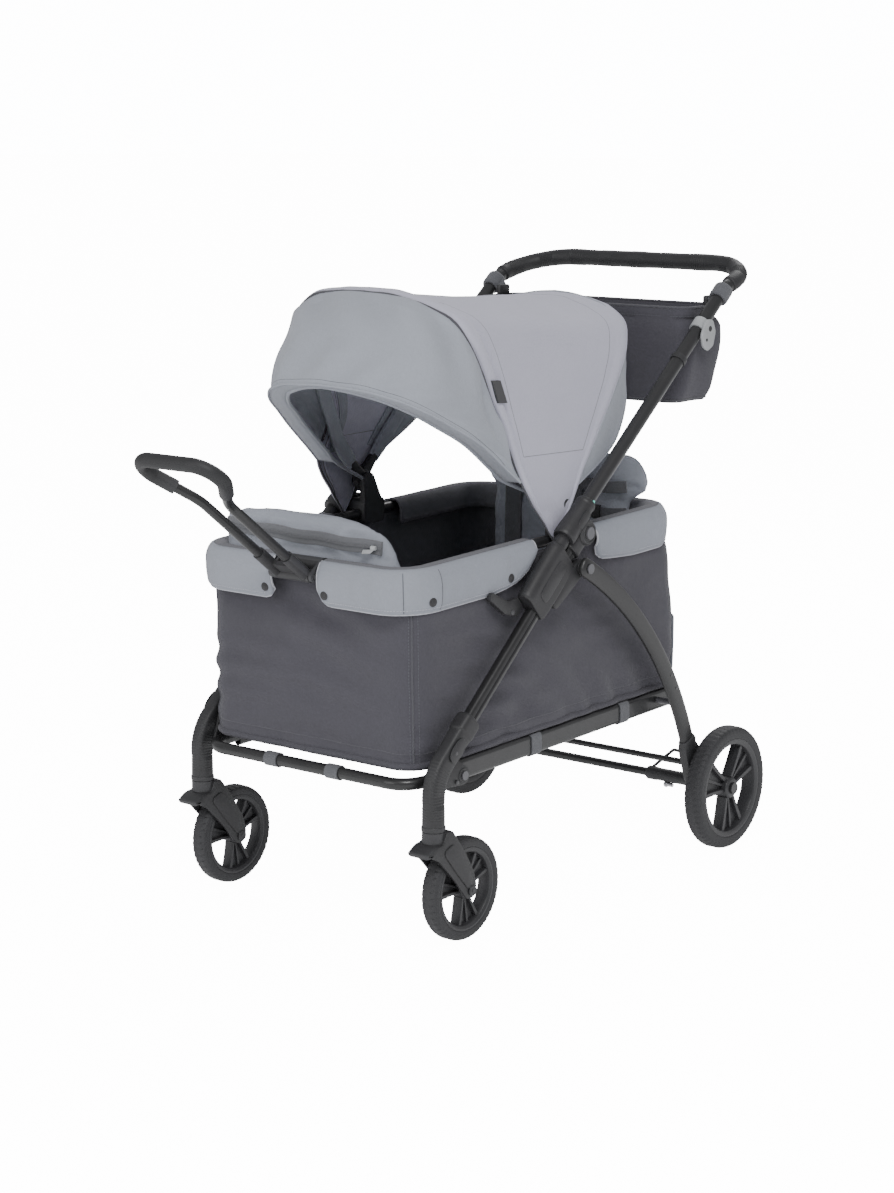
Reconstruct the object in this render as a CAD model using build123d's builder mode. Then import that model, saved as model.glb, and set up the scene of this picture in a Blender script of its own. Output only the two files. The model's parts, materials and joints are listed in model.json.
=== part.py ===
"""Folding pull wagon for children, built as separate pieces in one frame.

Millimetres. +Z is up and the floor is Z = 0. The pull handle is at the front (-Y) and the push
handle at the rear (+Y), so +X is the wagon's left. The origin is below the middle of its box.
"""
import os
from math import cos, radians, sin, tan

from build123d import *

os.makedirs("parts", exist_ok=True)

SIDES = (("left", 1), ("right", -1))

# ---- driving dimensions ----------------------------------------------------------------------
MAIN_X = 266.0              # push tubes, lower tubes and casters
LOWER_ANGLE = 41.3          # slope of the lower tubes
LOWER_FOOT = (-236.0, 373.7)        # (y, z) where a lower tube enters its leg casting
HUB_U = 427.0               # hub pivot, measured up the lower tube from its foot
UPPER_ANGLE = 39.0          # slope of the push tube
KNEE = (535.0, 1058.6)      # (y, z) where the push tube flattens into its U
GRIP_SLOPE = 17.0
GRIP_REACH = 124.0          # knee to crossbar
PUSH_TUBE_R = 12.7

FRONT_WHEEL_R = 89.7
FRONT_WHEEL_W = 31.8
REAR_WHEEL_R = 117.5
REAR_WHEEL_W = 36.0
REAR_WHEEL_X = 314.0
REAR_AXLE_Y = 493.5
CASTER_Y = -326.4
CASTER_TRAIL = 72.4
CASTER_TOP = 208.0

BASE_PIVOT = (-240.0, 282.0)        # (y, z) of the bolts that carry the base frame
BASE_TILT = 1.4
BASE_RAIL_X = 232.0
BASE_FRONT = -110.0         # front cross tube, along the base plane from its pivot
BASE_REAR = 668.0

RAIL_X = 226.0              # centre line of the top rail
RAIL_R = 10.0
RAIL_HEIGHT = 644.0         # top rail below the hub pivot
RAIL_TILT = 1.9
RAIL_FRONT = -430.0         # along the rail plane from the hub
RAIL_REAR = 320.0
RAIL_BEND = 55.0
BASKET_X = 236.0
BASKET_WALL = 2.5

CANOPY_HUB = (71.0, 705.0)  # (y, z) of the canopy's pivot
REAR_BOW_ANGLE = 47.8
FRONT_BOW_ANGLE = 125.0
VISOR_ANGLE = 149.0
FLAP_ANGLE = 33.0
BOW_R = 4.5

PULL_PIVOT = (-372.0, 616.0)
PULL_ANGLE = 37.4
PULL_REACH = 360.0

LEG_PIVOT_U, LEG_PIVOT_W = 374.0, -32.0     # rear leg pivot on the sliding housing
BASE_TO_LEG = (368.0, 299.0)        # (y, z) where the base frame meets the rear legs

FIT = 0.06                  # radial clearance of a running pin
SEAT = 0.15                 # clearance of a piece seated in another


# ---- helpers ---------------------------------------------------------------------------------
def save(name, part):
    part.label = name
    export_step(part, f"parts/{name}.step")


def slab(sx, low, high):
    """Sketch plane (y, z) for a plate between x = low and high, and its thickness."""
    return Plane.YZ.offset(low if sx > 0 else -high), high - low


def along(u, w=0.0):
    """(y, z) at u up the lower tube and w square to it, towards the basket."""
    c, s = cos(radians(LOWER_ANGLE)), sin(radians(LOWER_ANGLE))
    return LOWER_FOOT[0] + u * c - w * s, LOWER_FOOT[1] + u * s + w * c


def down_push_tube(t):
    """(y, z) at t down the push tube from its knee."""
    return KNEE[0] - t * cos(radians(UPPER_ANGLE)), KNEE[1] - t * sin(radians(UPPER_ANGLE))


def tube_plane(x, yz, angle):
    """Plane square to a line that rises at angle towards the rear."""
    return Plane(origin=(x, *yz), x_dir=(1, 0, 0), z_dir=(0, cos(radians(angle)), sin(radians(angle))))


def swept_tube(points, bend, outer, inner=0.0):
    """Round tube along straight runs joined by arcs."""
    with BuildPart() as tube:
        with BuildLine() as path:
            route = FilletPolyline(*points, radius=bend)
        with BuildSketch(Plane(origin=route @ 0, z_dir=route % 0)):
            Circle(outer)
            if inner:
                Circle(inner, mode=Mode.SUBTRACT)
        sweep(path=path.wires()[0])
    return tube.part


def rod(x0, x1, yz, radius, bore=0.0):
    """Round bar or bush along X."""
    with BuildPart() as bar:
        with BuildSketch(Plane.YZ.offset(min(x0, x1))):
            with Locations(yz):
                Circle(radius)
                if bore:
                    Circle(bore, mode=Mode.SUBTRACT)
        extrude(amount=abs(x1 - x0))
    return bar.part


def rounded_plate(plane, thickness, circles, holes=()):
    """Plate whose outline wraps the given circles, with round holes."""
    with BuildPart() as plate:
        with BuildSketch(plane):
            for y, z, r in circles:
                with Locations((y, z)):
                    Circle(r)
            make_hull()
            for y, z, r in holes:
                with Locations((y, z)):
                    Circle(r, mode=Mode.SUBTRACT)
        extrude(amount=thickness)
    return plate.part


HUB = along(HUB_U)
LEG_PIVOT = along(LEG_PIVOT_U, LEG_PIVOT_W)
BAR = (KNEE[0] + GRIP_REACH * cos(radians(GRIP_SLOPE)), KNEE[1] + GRIP_REACH * sin(radians(GRIP_SLOPE)))
base_plane = Plane(origin=(0, *BASE_PIVOT), x_dir=(1, 0, 0),
                   z_dir=(0, -sin(radians(BASE_TILT)), cos(radians(BASE_TILT))))
rail_plane = Plane(origin=(0, HUB[0], RAIL_HEIGHT), x_dir=(1, 0, 0),
                   z_dir=(0, -sin(radians(RAIL_TILT)), cos(radians(RAIL_TILT))))


def on_base(x, y, z=0.0):
    return base_plane.from_local_coords(Vector(x, y, z))


def on_rail(x, y, z=0.0):
    return rail_plane.from_local_coords(Vector(x, y, z))


# ---- push handle -----------------------------------------------------------------------------
PUSH_BENDS = [60, 105, 105, 60]
SLEEVE_BOTTOM, SLEEVE_TOP = 647.0, 563.5    # down the push tube from its knee
tube_foot = down_push_tube(SLEEVE_BOTTOM - 11)
push_points = [(x, *yz) for x, yz in ((MAIN_X, tube_foot), (MAIN_X, KNEE), (MAIN_X, BAR),
                                      (-MAIN_X, BAR), (-MAIN_X, KNEE), (-MAIN_X, tube_foot))]
save("push_handle_tube", swept_tube(push_points, PUSH_BENDS, PUSH_TUBE_R, 11.2))

GRIP_R = 16.5
grip_start = (KNEE[0] + 15 * cos(radians(GRIP_SLOPE)), KNEE[1] + 15 * sin(radians(GRIP_SLOPE)))
grip_points = [(MAIN_X, *grip_start), *push_points[2:4], (-MAIN_X, *grip_start)]
save("push_grip", swept_tube(grip_points, 105, GRIP_R, PUSH_TUBE_R + SEAT))

# ---- parent organiser hung between the push tubes ----------------------------------------------
BAG_TOP, BAG_BOTTOM = 1024.0, 848.0
with BuildPart() as bag:
    for x, front, rear, grow in ((0, 0, 0, 0), (3, 3, 3, 1)):
        with BuildSketch(Plane.XY.offset(BAG_BOTTOM + 3 * grow)):
            with Locations((0, 469)):
                RectangleRounded(2 * (234 - x), 102 - front - rear, 22)
        with BuildSketch(Plane.XY.offset(BAG_TOP)):
            with Locations((0, 492)):
                RectangleRounded(2 * (241 - x), 106 - front - rear, 26)
        loft(mode=Mode.SUBTRACT if grow else Mode.ADD)
save("organiser_bag", bag.part)

with BuildPart() as straps:
    for _, sx in SIDES:
        ring = tube_plane(sx * MAIN_X, down_push_tube(46), UPPER_ANGLE)
        with BuildSketch(ring):
            Circle(18.5)
            Circle(PUSH_TUBE_R + SEAT, mode=Mode.SUBTRACT)
        extrude(amount=24)
        with BuildSketch(Plane.XY.offset(BAG_TOP + 0.3)):
            with Locations((sx * 245, 522)):
                Rectangle(7, 26)
        extrude(amount=20)
        low = tube_plane(sx * MAIN_X, down_push_tube(200), UPPER_ANGLE)
        with BuildSketch(low):
            Circle(15)
            Circle(PUSH_TUBE_R + SEAT, mode=Mode.SUBTRACT)
        extrude(amount=9)
        plane, thick = slab(sx, 246, 252)
        with BuildSketch(plane):
            with Locations((385, 925)):
                Rectangle(24, 30)
        extrude(amount=thick)
save("organiser_straps", straps.part)

CLIP_T = 107.0
with BuildPart() as clip:
    with BuildSketch(tube_plane(MAIN_X, down_push_tube(CLIP_T + 14), UPPER_ANGLE)):
        Circle(16.5)
        Circle(PUSH_TUBE_R + SEAT, mode=Mode.SUBTRACT)
    extrude(amount=28)
    with BuildSketch(Plane.YZ.offset(281)):
        with Locations((454, 976)):
            RectangleRounded(34, 50, 8)
        with Locations((462, 984)):
            SlotOverall(14, 6, rotation=90, mode=Mode.SUBTRACT)
    extrude(amount=5)
    with BuildSketch(Plane.YZ.offset(279)):
        with Locations(down_push_tube(CLIP_T)):
            Rectangle(14, 14)
    extrude(amount=3)
save("cup_holder_clip", clip.part)

# ---- sleeves, hubs, lower tubes and leg castings -----------------------------------------------
TUBE_DEEP, TUBE_WIDE = 28.0, 20.0           # lower tube section, in its plane and across
CASTING_DEEP, CASTING_WIDE = 38.0, 28.0
TUBE_TOP, TUBE_END = 405.5, -60.0
CASTING_TOP = 4.0
SLEEVE_R = 19.0
HUB_R = 20.0
caster_bend = (CASTER_Y, LOWER_FOOT[1] + (CASTER_Y - LOWER_FOOT[0]) * tan(radians(LOWER_ANGLE)))

for side, sx in SIDES:
    x = sx * MAIN_X
    plane, thick = slab(sx, 252, 284)
    with BuildPart() as sleeve:
        with BuildSketch(tube_plane(x, down_push_tube(SLEEVE_BOTTOM), UPPER_ANGLE)):
            Circle(SLEEVE_R)
        extrude(amount=SLEEVE_BOTTOM - SLEEVE_TOP, taper=1.5)
        with BuildSketch(plane):
            with Locations(HUB):
                Circle(HUB_R)
        extrude(amount=thick)
        with BuildSketch(tube_plane(x, along(383), LOWER_ANGLE)):
            SlotOverall(TUBE_DEEP + 6, TUBE_WIDE + 6, rotation=90)
        extrude(amount=HUB_U - 383)
        with BuildSketch(tube_plane(x, along(382), LOWER_ANGLE)):
            SlotOverall(TUBE_DEEP + 2 * SEAT, TUBE_WIDE + 2 * SEAT, rotation=90)
        extrude(amount=TUBE_TOP + 0.3 - 382, mode=Mode.SUBTRACT)
        with BuildSketch(tube_plane(x, down_push_tube(SLEEVE_BOTTOM + 1), UPPER_ANGLE)):
            Circle(16)
        extrude(amount=10, mode=Mode.SUBTRACT)
        with BuildSketch(tube_plane(x, down_push_tube(SLEEVE_BOTTOM - 10), UPPER_ANGLE)):
            Circle(PUSH_TUBE_R + SEAT)
        extrude(amount=90, mode=Mode.SUBTRACT)
        with BuildSketch(Plane.YZ.offset(min(sx * 250, sx * 290))):
            with Locations(HUB):
                Circle(6 + FIT)
        extrude(amount=40, mode=Mode.SUBTRACT)
    save(f"upper_sleeve_{side}", sleeve.part)

    with BuildPart() as lower:
        with BuildSketch(tube_plane(x, along(TUBE_END), LOWER_ANGLE)):
            SlotOverall(TUBE_DEEP, TUBE_WIDE, rotation=90)
            SlotOverall(TUBE_DEEP - 9, TUBE_WIDE - 9, rotation=90, mode=Mode.SUBTRACT)
            with Locations((sx * TUBE_WIDE / 2, 0)):
                Rectangle(5, 7, mode=Mode.SUBTRACT)
        extrude(amount=TUBE_TOP - TUBE_END)
    save(f"lower_tube_{side}", lower.part)

    with BuildPart() as casting:
        with BuildLine() as spine:
            route = FilletPolyline((x, *along(CASTING_TOP)), (x, *caster_bend), (x, CASTER_Y, CASTER_TOP + 20),
                                   radius=80)
        with BuildSketch(Plane(origin=route @ 0, x_dir=(1, 0, 0), z_dir=route % 0)):
            SlotOverall(CASTING_DEEP, CASTING_WIDE, rotation=90)
        sweep(path=spine.wires()[0])
        with BuildSketch(Plane.XY.offset(CASTER_TOP)):
            with Locations((x, CASTER_Y)):
                Circle(19.5)
        extrude(amount=46, taper=3)
        plane, thick = slab(sx, 246, 262)
        with BuildSketch(plane):
            for y, z, r in ((-288, 318, 12), (-300, 282, 12), (*BASE_PIVOT, 17)):
                with Locations((y, z)):
                    Circle(r)
            make_hull()
        extrude(amount=thick)
        with BuildSketch(tube_plane(x, along(TUBE_END - 1), LOWER_ANGLE)):
            SlotOverall(TUBE_DEEP + 2 * SEAT, TUBE_WIDE + 2 * SEAT, rotation=90)
        extrude(amount=80, mode=Mode.SUBTRACT)
        with BuildSketch(Plane.XY.offset(CASTER_TOP - 1)):
            with Locations((x, CASTER_Y)):
                Circle(6 + FIT)
        extrude(amount=42, mode=Mode.SUBTRACT)
        with BuildSketch(Plane.YZ.offset(min(sx * 240, sx * 270))):
            with Locations(BASE_PIVOT):
                Circle(5 + FIT)
        extrude(amount=30, mode=Mode.SUBTRACT)
    save(f"leg_casting_{side}", casting.part)

with BuildPart() as indicators:
    for _, sx in SIDES:
        y, z = down_push_tube(SLEEVE_TOP - 5)
        plane, thick = slab(sx, MAIN_X + PUSH_TUBE_R + 0.1, MAIN_X + PUSH_TUBE_R + 2.5)
        with BuildSketch(plane):
            with Locations((y, z)):
                SlotOverall(9, 5, rotation=UPPER_ANGLE)
        extrude(amount=thick)
save("lock_indicators", indicators.part)

with BuildPart() as bolts:
    for _, sx in SIDES:
        add(rod(sx * 218, sx * 262.2, BASE_PIVOT, 5))
        add(rod(sx * 262.2, sx * 266, BASE_PIVOT, 8))
        add(rod(sx * 216, sx * 220, BASE_PIVOT, 8))
        add(rod(sx * 239, sx * 284.2, HUB, 6))
        add(rod(sx * 284.2, sx * 288, HUB, 11))
save("pivot_bolts", bolts.part)

# ---- casters -----------------------------------------------------------------------------------
FRONT_AXLE_Y = CASTER_Y + CASTER_TRAIL
FRONT_AXLE_R = 5.4
for side, sx in SIDES:
    x = sx * MAIN_X
    plane, thick = slab(sx, MAIN_X - 24, MAIN_X + 24)
    with BuildPart() as fork:
        with BuildSketch(plane):
            with BuildLine():
                Polyline((-330, 186), (-350, 185), (-368, 172), (-340, 158), (-300, 118), (-264, 78),
                         (-244, 78), (-238, 92), (-246, 120), (-268, 158), (-288, 186), (-304, 206),
                         (-320, 206), close=True)
            make_face()
        extrude(amount=thick)
        add(rod(x - 18.4, x + 18.4, (FRONT_AXLE_Y, FRONT_WHEEL_R), FRONT_WHEEL_R + 4), mode=Mode.SUBTRACT)
        fillet(fork.part.edges().filter_by(Axis.X).sort_by(Axis.Z)[-2:], 6)
        with BuildSketch(Plane.XY.offset(184)):
            with Locations((x, CASTER_Y)):
                Circle(19.5)
        extrude(amount=22)
        with BuildSketch(Plane.XY.offset(200)):
            with Locations((x, CASTER_Y)):
                Circle(6)
        extrude(amount=46)
        with BuildSketch(Plane.YZ.offset(x - 30)):
            with Locations((FRONT_AXLE_Y, FRONT_WHEEL_R)):
                Circle(5.5)
        extrude(amount=60, mode=Mode.SUBTRACT)
        add(rod(x - 24.2, x + 24.2, (FRONT_AXLE_Y, FRONT_WHEEL_R), FRONT_AXLE_R))
        add(rod(x - 28, x - 24.2, (FRONT_AXLE_Y, FRONT_WHEEL_R), 9))
        add(rod(x + 24.2, x + 28, (FRONT_AXLE_Y, FRONT_WHEEL_R), 9))
    save(f"caster_fork_{side}", fork.part)


# ---- wheels ------------------------------------------------------------------------------------
def tyre(centre, radius, width):
    """Solid tyre with a rounded tread, seated on the rim's band."""
    band = radius * 0.80
    with BuildPart() as ring:
        with BuildSketch(Plane.XY):
            with Locations(((radius + band) / 2, 0)):
                Rectangle(radius - band, width)
            fillet(vertices().filter_by_position(Axis.X, radius - 0.01, radius + 0.01), width * 0.3)
        revolve(axis=Axis.Y)
    return wheel_place(ring.part, centre)


def wheel_place(part, centre):
    """Turns a part revolved about Y so that its axis is X, centred at centre."""
    return Pos(*centre) * Rot(0, 0, 90) * part


def rim(centre, radius, width, bore):
    """Three-spoke rim: band, hub and spokes of two ribs joined by a web."""
    outer, inner = radius * 0.80 - 0.1, radius * 0.70
    hub_r = bore + radius * 0.11
    with BuildPart() as wheel:
        with BuildSketch(Plane.XY):
            with Locations(((outer + inner) / 2, 0)):
                Rectangle(outer - inner, width * 0.86)
            with Locations(((bore + hub_r) / 2, 0)):
                Rectangle(hub_r - bore, width)
        revolve(axis=Axis.Y)
        web = Plane.XZ.offset(-width * 0.22)
        with BuildSketch(web):
            with PolarLocations(0, 3, start_angle=90):
                with BuildLine():
                    Polyline((hub_r * 0.7, -radius * 0.12), (inner + 1, -radius * 0.30),
                             (inner + 1, radius * 0.30), (hub_r * 0.7, radius * 0.12), close=True)
                make_face()
            Circle(hub_r * 0.9, mode=Mode.SUBTRACT)
        extrude(amount=width * 0.44)
        with BuildSketch(web):
            with PolarLocations(0, 3, start_angle=90):
                with BuildLine():
                    Polyline((hub_r * 1.5, -radius * 0.045), (inner - 3, -radius * 0.17),
                             (inner - 3, radius * 0.17), (hub_r * 1.5, radius * 0.045), close=True)
                make_face()
        extrude(amount=width * 0.44, mode=Mode.SUBTRACT)
        with BuildSketch(Plane.XZ.offset(-2)):
            with PolarLocations(0, 3, start_angle=90):
                with Locations(((hub_r + inner) / 2, 0)):
                    Rectangle(inner - hub_r + 4, radius * 0.10)
        extrude(amount=4)
    return wheel_place(wheel.part, centre)


for side, sx in SIDES:
    front_centre = (sx * MAIN_X, FRONT_AXLE_Y, FRONT_WHEEL_R)
    rear_centre = (sx * REAR_WHEEL_X, REAR_AXLE_Y, REAR_WHEEL_R)
    save(f"front_tyre_{side}", tyre(front_centre, FRONT_WHEEL_R, FRONT_WHEEL_W))
    save(f"front_rim_{side}", rim(front_centre, FRONT_WHEEL_R, FRONT_WHEEL_W, FRONT_AXLE_R + FIT))
    save(f"rear_tyre_{side}", tyre(rear_centre, REAR_WHEEL_R, REAR_WHEEL_W))
    save(f"rear_rim_{side}", rim(rear_centre, REAR_WHEEL_R, REAR_WHEEL_W, 6 + FIT))

# ---- sliding joint housings and the arms under the top rail ---------------------------------------
HOUSING_LOW, HOUSING_TOP = 240.0, 364.0
SLOT_GAP = 0.4
for side, sx in SIDES:
    x = sx * MAIN_X
    with BuildPart() as housing:
        with BuildSketch(tube_plane(x, along(HOUSING_LOW), LOWER_ANGLE)):
            with Locations((0, -34)):
                Circle(17)
            with Locations((0, 0)):
                RectangleRounded(30, 38, 8)
            make_hull()
            with Locations((sx * 8, 22)):
                Rectangle(14, 20)
        extrude(amount=HOUSING_TOP - HOUSING_LOW)
        with BuildSketch(tube_plane(x, along(HOUSING_TOP), LOWER_ANGLE)):
            with Locations((0, -31.5)):
                Circle(14)
        extrude(amount=25)
        plane, thick = slab(sx, 267, 282)
        low, top = along(284, -24), along(366, -24)
        with BuildSketch(plane):
            for (y, z), r in ((low, 9), (LEG_PIVOT, 14), (top, 8), (along(330, -16), 8)):
                with Locations((y, z)):
                    Circle(r)
            make_hull()
        extrude(amount=thick)
        with BuildSketch(tube_plane(x, along(HOUSING_LOW - 1), LOWER_ANGLE)):
            SlotOverall(TUBE_DEEP + 2 * SLOT_GAP, TUBE_WIDE + 2 * SLOT_GAP, rotation=90)
        extrude(amount=HOUSING_TOP - HOUSING_LOW + 32, mode=Mode.SUBTRACT)
        with BuildSketch(Plane.YZ.offset(min(sx * 260, sx * 290))):
            with Locations(LEG_PIVOT):
                Circle(5 + FIT)
        extrude(amount=30, mode=Mode.SUBTRACT)
    save(f"joint_housing_{side}", housing.part)

with BuildPart() as arms:
    for _, sx in SIDES:
        plane, thick = slab(sx, 248, 258)
        with BuildSketch(plane):
            with BuildLine():
                Polyline(along(239.8, 19.6), along(239.8, 40), along(216, 56), along(196, 104),
                         along(184, 100), along(196, 48), along(214, 19.6), close=True)
            make_face()
        extrude(amount=thick)
save("rail_rest_arms", arms.part)

# ---- rear legs, axle and brake -----------------------------------------------------------------
REAR_AXLE = (REAR_AXLE_Y, REAR_WHEEL_R)
LEG_X_TOP = 292.4
LEG_DEEP, LEG_WIDE = 34.0, 15.0
LEG_MIDDLE, LEG_FOOT = (290.0, 413.0), (430.0, 150.0)
BRACE = (462.0, 160.0)


leg_lean = radians(1.2)     # the legs come closer together towards the floor
leg_plane = Plane(origin=(LEG_X_TOP, *LEG_PIVOT), x_dir=(0, 1, 0), z_dir=(cos(leg_lean), 0, -sin(leg_lean)))


def leg_bar(grow=0.0):
    """Left leg's curved flat bar, from the leg pivot down into the wheel bracket."""
    with BuildPart() as bar:
        with BuildSketch(leg_plane):
            with BuildLine(mode=Mode.PRIVATE):
                bow = ThreePointArc((0, 0), (LEG_MIDDLE[0] - LEG_PIVOT[0], LEG_MIDDLE[1] - LEG_PIVOT[1]),
                                    (LEG_FOOT[0] - LEG_PIVOT[0], LEG_FOOT[1] - LEG_PIVOT[1]))
            SlotArc(bow, LEG_DEEP + 2 * grow)
        extrude(amount=LEG_WIDE / 2 + grow, both=True)
        if not grow:
            fillet(bar.edges(), 5)
    return bar.part


def on_both_sides(part):
    """The left piece and its mirror image."""
    return (("left", part), ("right", mirror(part, about=Plane.YZ)))


with BuildPart() as leg:
    add(leg_bar())
    add(rod(275, 310, LEG_PIVOT, 5 + FIT), mode=Mode.SUBTRACT)
for side, part in on_both_sides(leg.part):
    save(f"rear_leg_{side}", part)

with BuildPart() as pins:
    for _, sx in SIDES:
        add(rod(sx * 264, sx * 300.5, LEG_PIVOT, 5))
        add(rod(sx * 300.5, sx * 303, LEG_PIVOT, 9))
        add(rod(sx * 242, sx * 277.2, BASE_TO_LEG, 6))
save("rear_leg_pins", pins.part)

with BuildPart() as bracket:
    add(rounded_plate(Plane.YZ.offset(274), 19,
                      ((LEG_FOOT[0], 152, 21), (*REAR_AXLE, 17), (*BRACE, 13), (410, 206, 20))))
    add(leg_bar(grow=SEAT), mode=Mode.SUBTRACT)
    add(rod(270, 296, REAR_AXLE, 6 + FIT), mode=Mode.SUBTRACT)
with BuildPart() as brackets:
    for _, part in on_both_sides(bracket.part):
        add(part)
save("wheel_brackets", brackets.part)

with BuildPart() as axle:
    add(rod(-273.9, 273.9, REAR_AXLE, 8))
    add(rod(-334, 334, REAR_AXLE, 6))
    for sx in (1, -1):
        add(rod(sx * 333, sx * 337, REAR_AXLE, 11))
save("rear_axle", axle.part)

save("brace_bar", rod(-273.9, 273.9, BRACE, 6))

BRAKE_LOW, BRAKE_HIGH = 140.0, 262.0
PEDAL_WIDE = 54.0
with BuildPart() as pedal:
    add(rod(BRAKE_LOW, BRAKE_HIGH, REAR_AXLE, 13, 8 + FIT))
    with BuildSketch(Plane.YZ.offset(BRAKE_HIGH - PEDAL_WIDE)):
        with BuildLine():
            Polyline((503, 121), (530, 124), (556, 118), (556, 111), (530, 115), (503, 110), close=True)
        make_face()
    extrude(amount=PEDAL_WIDE - 2)
    add(rod(188, 204, (489, 103), 4))
save("brake_pedal", pedal.part)

cable_points = [(158, 484, 134), (190, 476, 160), (225, 452, 184), (271, 425, 190)]
save("brake_cable", swept_tube(cable_points, [38, 40], 3))

# ---- base frame, floor and basket --------------------------------------------------------------
RAIL_DEEP, RAIL_WIDE = 38.0, 16.0
CROSS_R = 10.5
FLOOR = RAIL_DEEP / 2 + 0.2
cross_section = Plane(origin=on_base(0, BASE_FRONT + 80), x_dir=(1, 0, 0), z_dir=on_base(0, 1) - on_base(0, 0))
for side, sx in SIDES:
    with BuildPart() as rail:
        with BuildSketch(cross_section):
            with Locations((sx * BASE_RAIL_X, 0)):
                SlotOverall(RAIL_DEEP, RAIL_WIDE, rotation=90)
                SlotOverall(RAIL_DEEP - 4, RAIL_WIDE - 4, rotation=90, mode=Mode.SUBTRACT)
        extrude(amount=BASE_REAR - BASE_FRONT - 80)
        add(rod(sx * 220, sx * 245, BASE_PIVOT, 5 + FIT), mode=Mode.SUBTRACT)
    save(f"base_rail_{side}", rail.part)

with BuildPart() as cross:
    corners = [on_base(x, y) for x, y in ((-BASE_RAIL_X, BASE_FRONT + 79.8), (-BASE_RAIL_X, BASE_FRONT),
                                          (BASE_RAIL_X, BASE_FRONT), (BASE_RAIL_X, BASE_FRONT + 79.8))]
    add(swept_tube(corners, 45, CROSS_R, CROSS_R - 1.8))
    y, z = on_base(0, BASE_REAR - 14).Y, on_base(0, BASE_REAR - 14).Z
    add(rod(-(BASE_RAIL_X - 8.2), BASE_RAIL_X - 8.2, (y, z), CROSS_R - 1))
save("base_cross_tubes", cross.part)

BASKET_LENGTH, BASKET_MID = 780.0, 292.0    # at the floor, along the base plane
with BuildPart() as board:
    with BuildSketch(base_plane.offset(FLOOR + BASKET_WALL + 0.1)):
        with Locations((0, BASKET_MID)):
            RectangleRounded(2 * BASKET_X - 12, BASKET_LENGTH - 12, 42)
    extrude(amount=4)
save("floor_board", board.part)

with BuildPart() as pad:
    with BuildSketch(base_plane.offset(FLOOR + BASKET_WALL + 4.2)):
        with Locations((0, BASKET_MID)):
            RectangleRounded(2 * BASKET_X - 16, BASKET_LENGTH - 30, 40)
    extrude(amount=16)
save("floor_pad", pad.part)

BASKET_TOP = -RAIL_R - 10       # below the top rail's centre line
with BuildPart() as basket:
    for wall, mode in ((0, Mode.ADD), (BASKET_WALL, Mode.SUBTRACT)):
        with BuildSketch(base_plane.offset(FLOOR + wall)):
            with Locations((0, BASKET_MID)):
                RectangleRounded(2 * (BASKET_X - wall), BASKET_LENGTH - 2 * wall, 50 - wall)
        with BuildSketch(rail_plane.offset(BASKET_TOP)):
            with Locations((0, (RAIL_FRONT + RAIL_REAR) / 2 + 9.5)):
                RectangleRounded(2 * (BASKET_X - wall), RAIL_REAR - RAIL_FRONT - 6 - 2 * wall, 50 - wall)
        loft(mode=mode)
save("basket_shell", basket.part)

SEAT_X, REAR_SEAT_X = 197.0, 184.0
PAD_TOP = 330.0
with BuildPart() as front_seat:
    with BuildSketch(Plane.XY.offset(PAD_TOP)):
        with Locations((0, -296)):
            RectangleRounded(2 * SEAT_X, 40, 16)
    extrude(amount=374)
    fillet(front_seat.edges().group_by(Axis.Z)[-1], 14)
save("front_seat_back", front_seat.part)

with BuildPart() as rear_seat:
    with BuildSketch(Plane.YZ.offset(-REAR_SEAT_X)):
        with BuildLine():
            Polyline((336, 344), (336, 660), (360, 757), (402, 757), (402, 690), (376, 668), (376, 344),
                     close=True)
        make_face()
        fillet(vertices(), 8)
    extrude(amount=2 * REAR_SEAT_X)
save("rear_seat_back", rear_seat.part)

with BuildPart() as harness:
    for _, sx in SIDES:
        plane, thick = slab(sx, 52, 90)
        with BuildSketch(plane):
            with Locations((334, 540)):
                Rectangle(3, 240)
        extrude(amount=thick)
        for z in (615, 650):
            plane, thick = slab(sx, 110, REAR_SEAT_X)
            with BuildSketch(plane):
                with Locations((334, z)):
                    Rectangle(3, 20)
            extrude(amount=thick)
    with BuildSketch(Plane.XY.offset(470)):
        with Locations((0, 329)):
            RectangleRounded(46, 12, 5)
    extrude(amount=40)
save("harness_straps", harness.part)

with BuildPart() as loops:
    band = 28
    for _, sx in SIDES:
        for y in (-8, 262):
            start = on_base(0, y - BASE_PIVOT[0] - band / 2)
            with BuildSketch(Plane(origin=start, x_dir=(1, 0, 0), z_dir=cross_section.z_dir)):
                with Locations((sx * BASE_RAIL_X, 0)):
                    SlotOverall(RAIL_DEEP + 5, RAIL_WIDE + 5, rotation=90)
                    SlotOverall(RAIL_DEEP + 0.6, RAIL_WIDE + 0.6, rotation=90, mode=Mode.SUBTRACT)
                with Locations((sx * BASE_RAIL_X, -FLOOR - 2)):
                    Rectangle(40, 4.6, mode=Mode.SUBTRACT)
            extrude(amount=band)
        front = on_base(0, BASE_FRONT)
        loop = rod(sx * 56, sx * 84, (front.Y, front.Z), CROSS_R + 2.6, CROSS_R + 0.3)
        add(loop)
save("base_straps", loops.part)

# ---- top rail, its rim covers and what stands on it -------------------------------------------------
rail_start = on_rail(RAIL_X, 0)
for name, end, limit in (("front", RAIL_FRONT, -0.2), ("rear", RAIL_REAR, 0.2)):
    points = [on_rail(x, y) for x, y in ((RAIL_X, limit), (RAIL_X, end), (-RAIL_X, end), (-RAIL_X, limit))]
    save(f"top_rail_{name}", swept_tube(points, RAIL_BEND, RAIL_R, RAIL_R - 1.6))

RIM_OUT, RIM_IN = 19.5, 21.0
RIM_DROP_OUT, RIM_DROP_IN = 62.0, 32.0
RIM_TOP = 14.0
RIM_SKIN = 3.5


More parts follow.
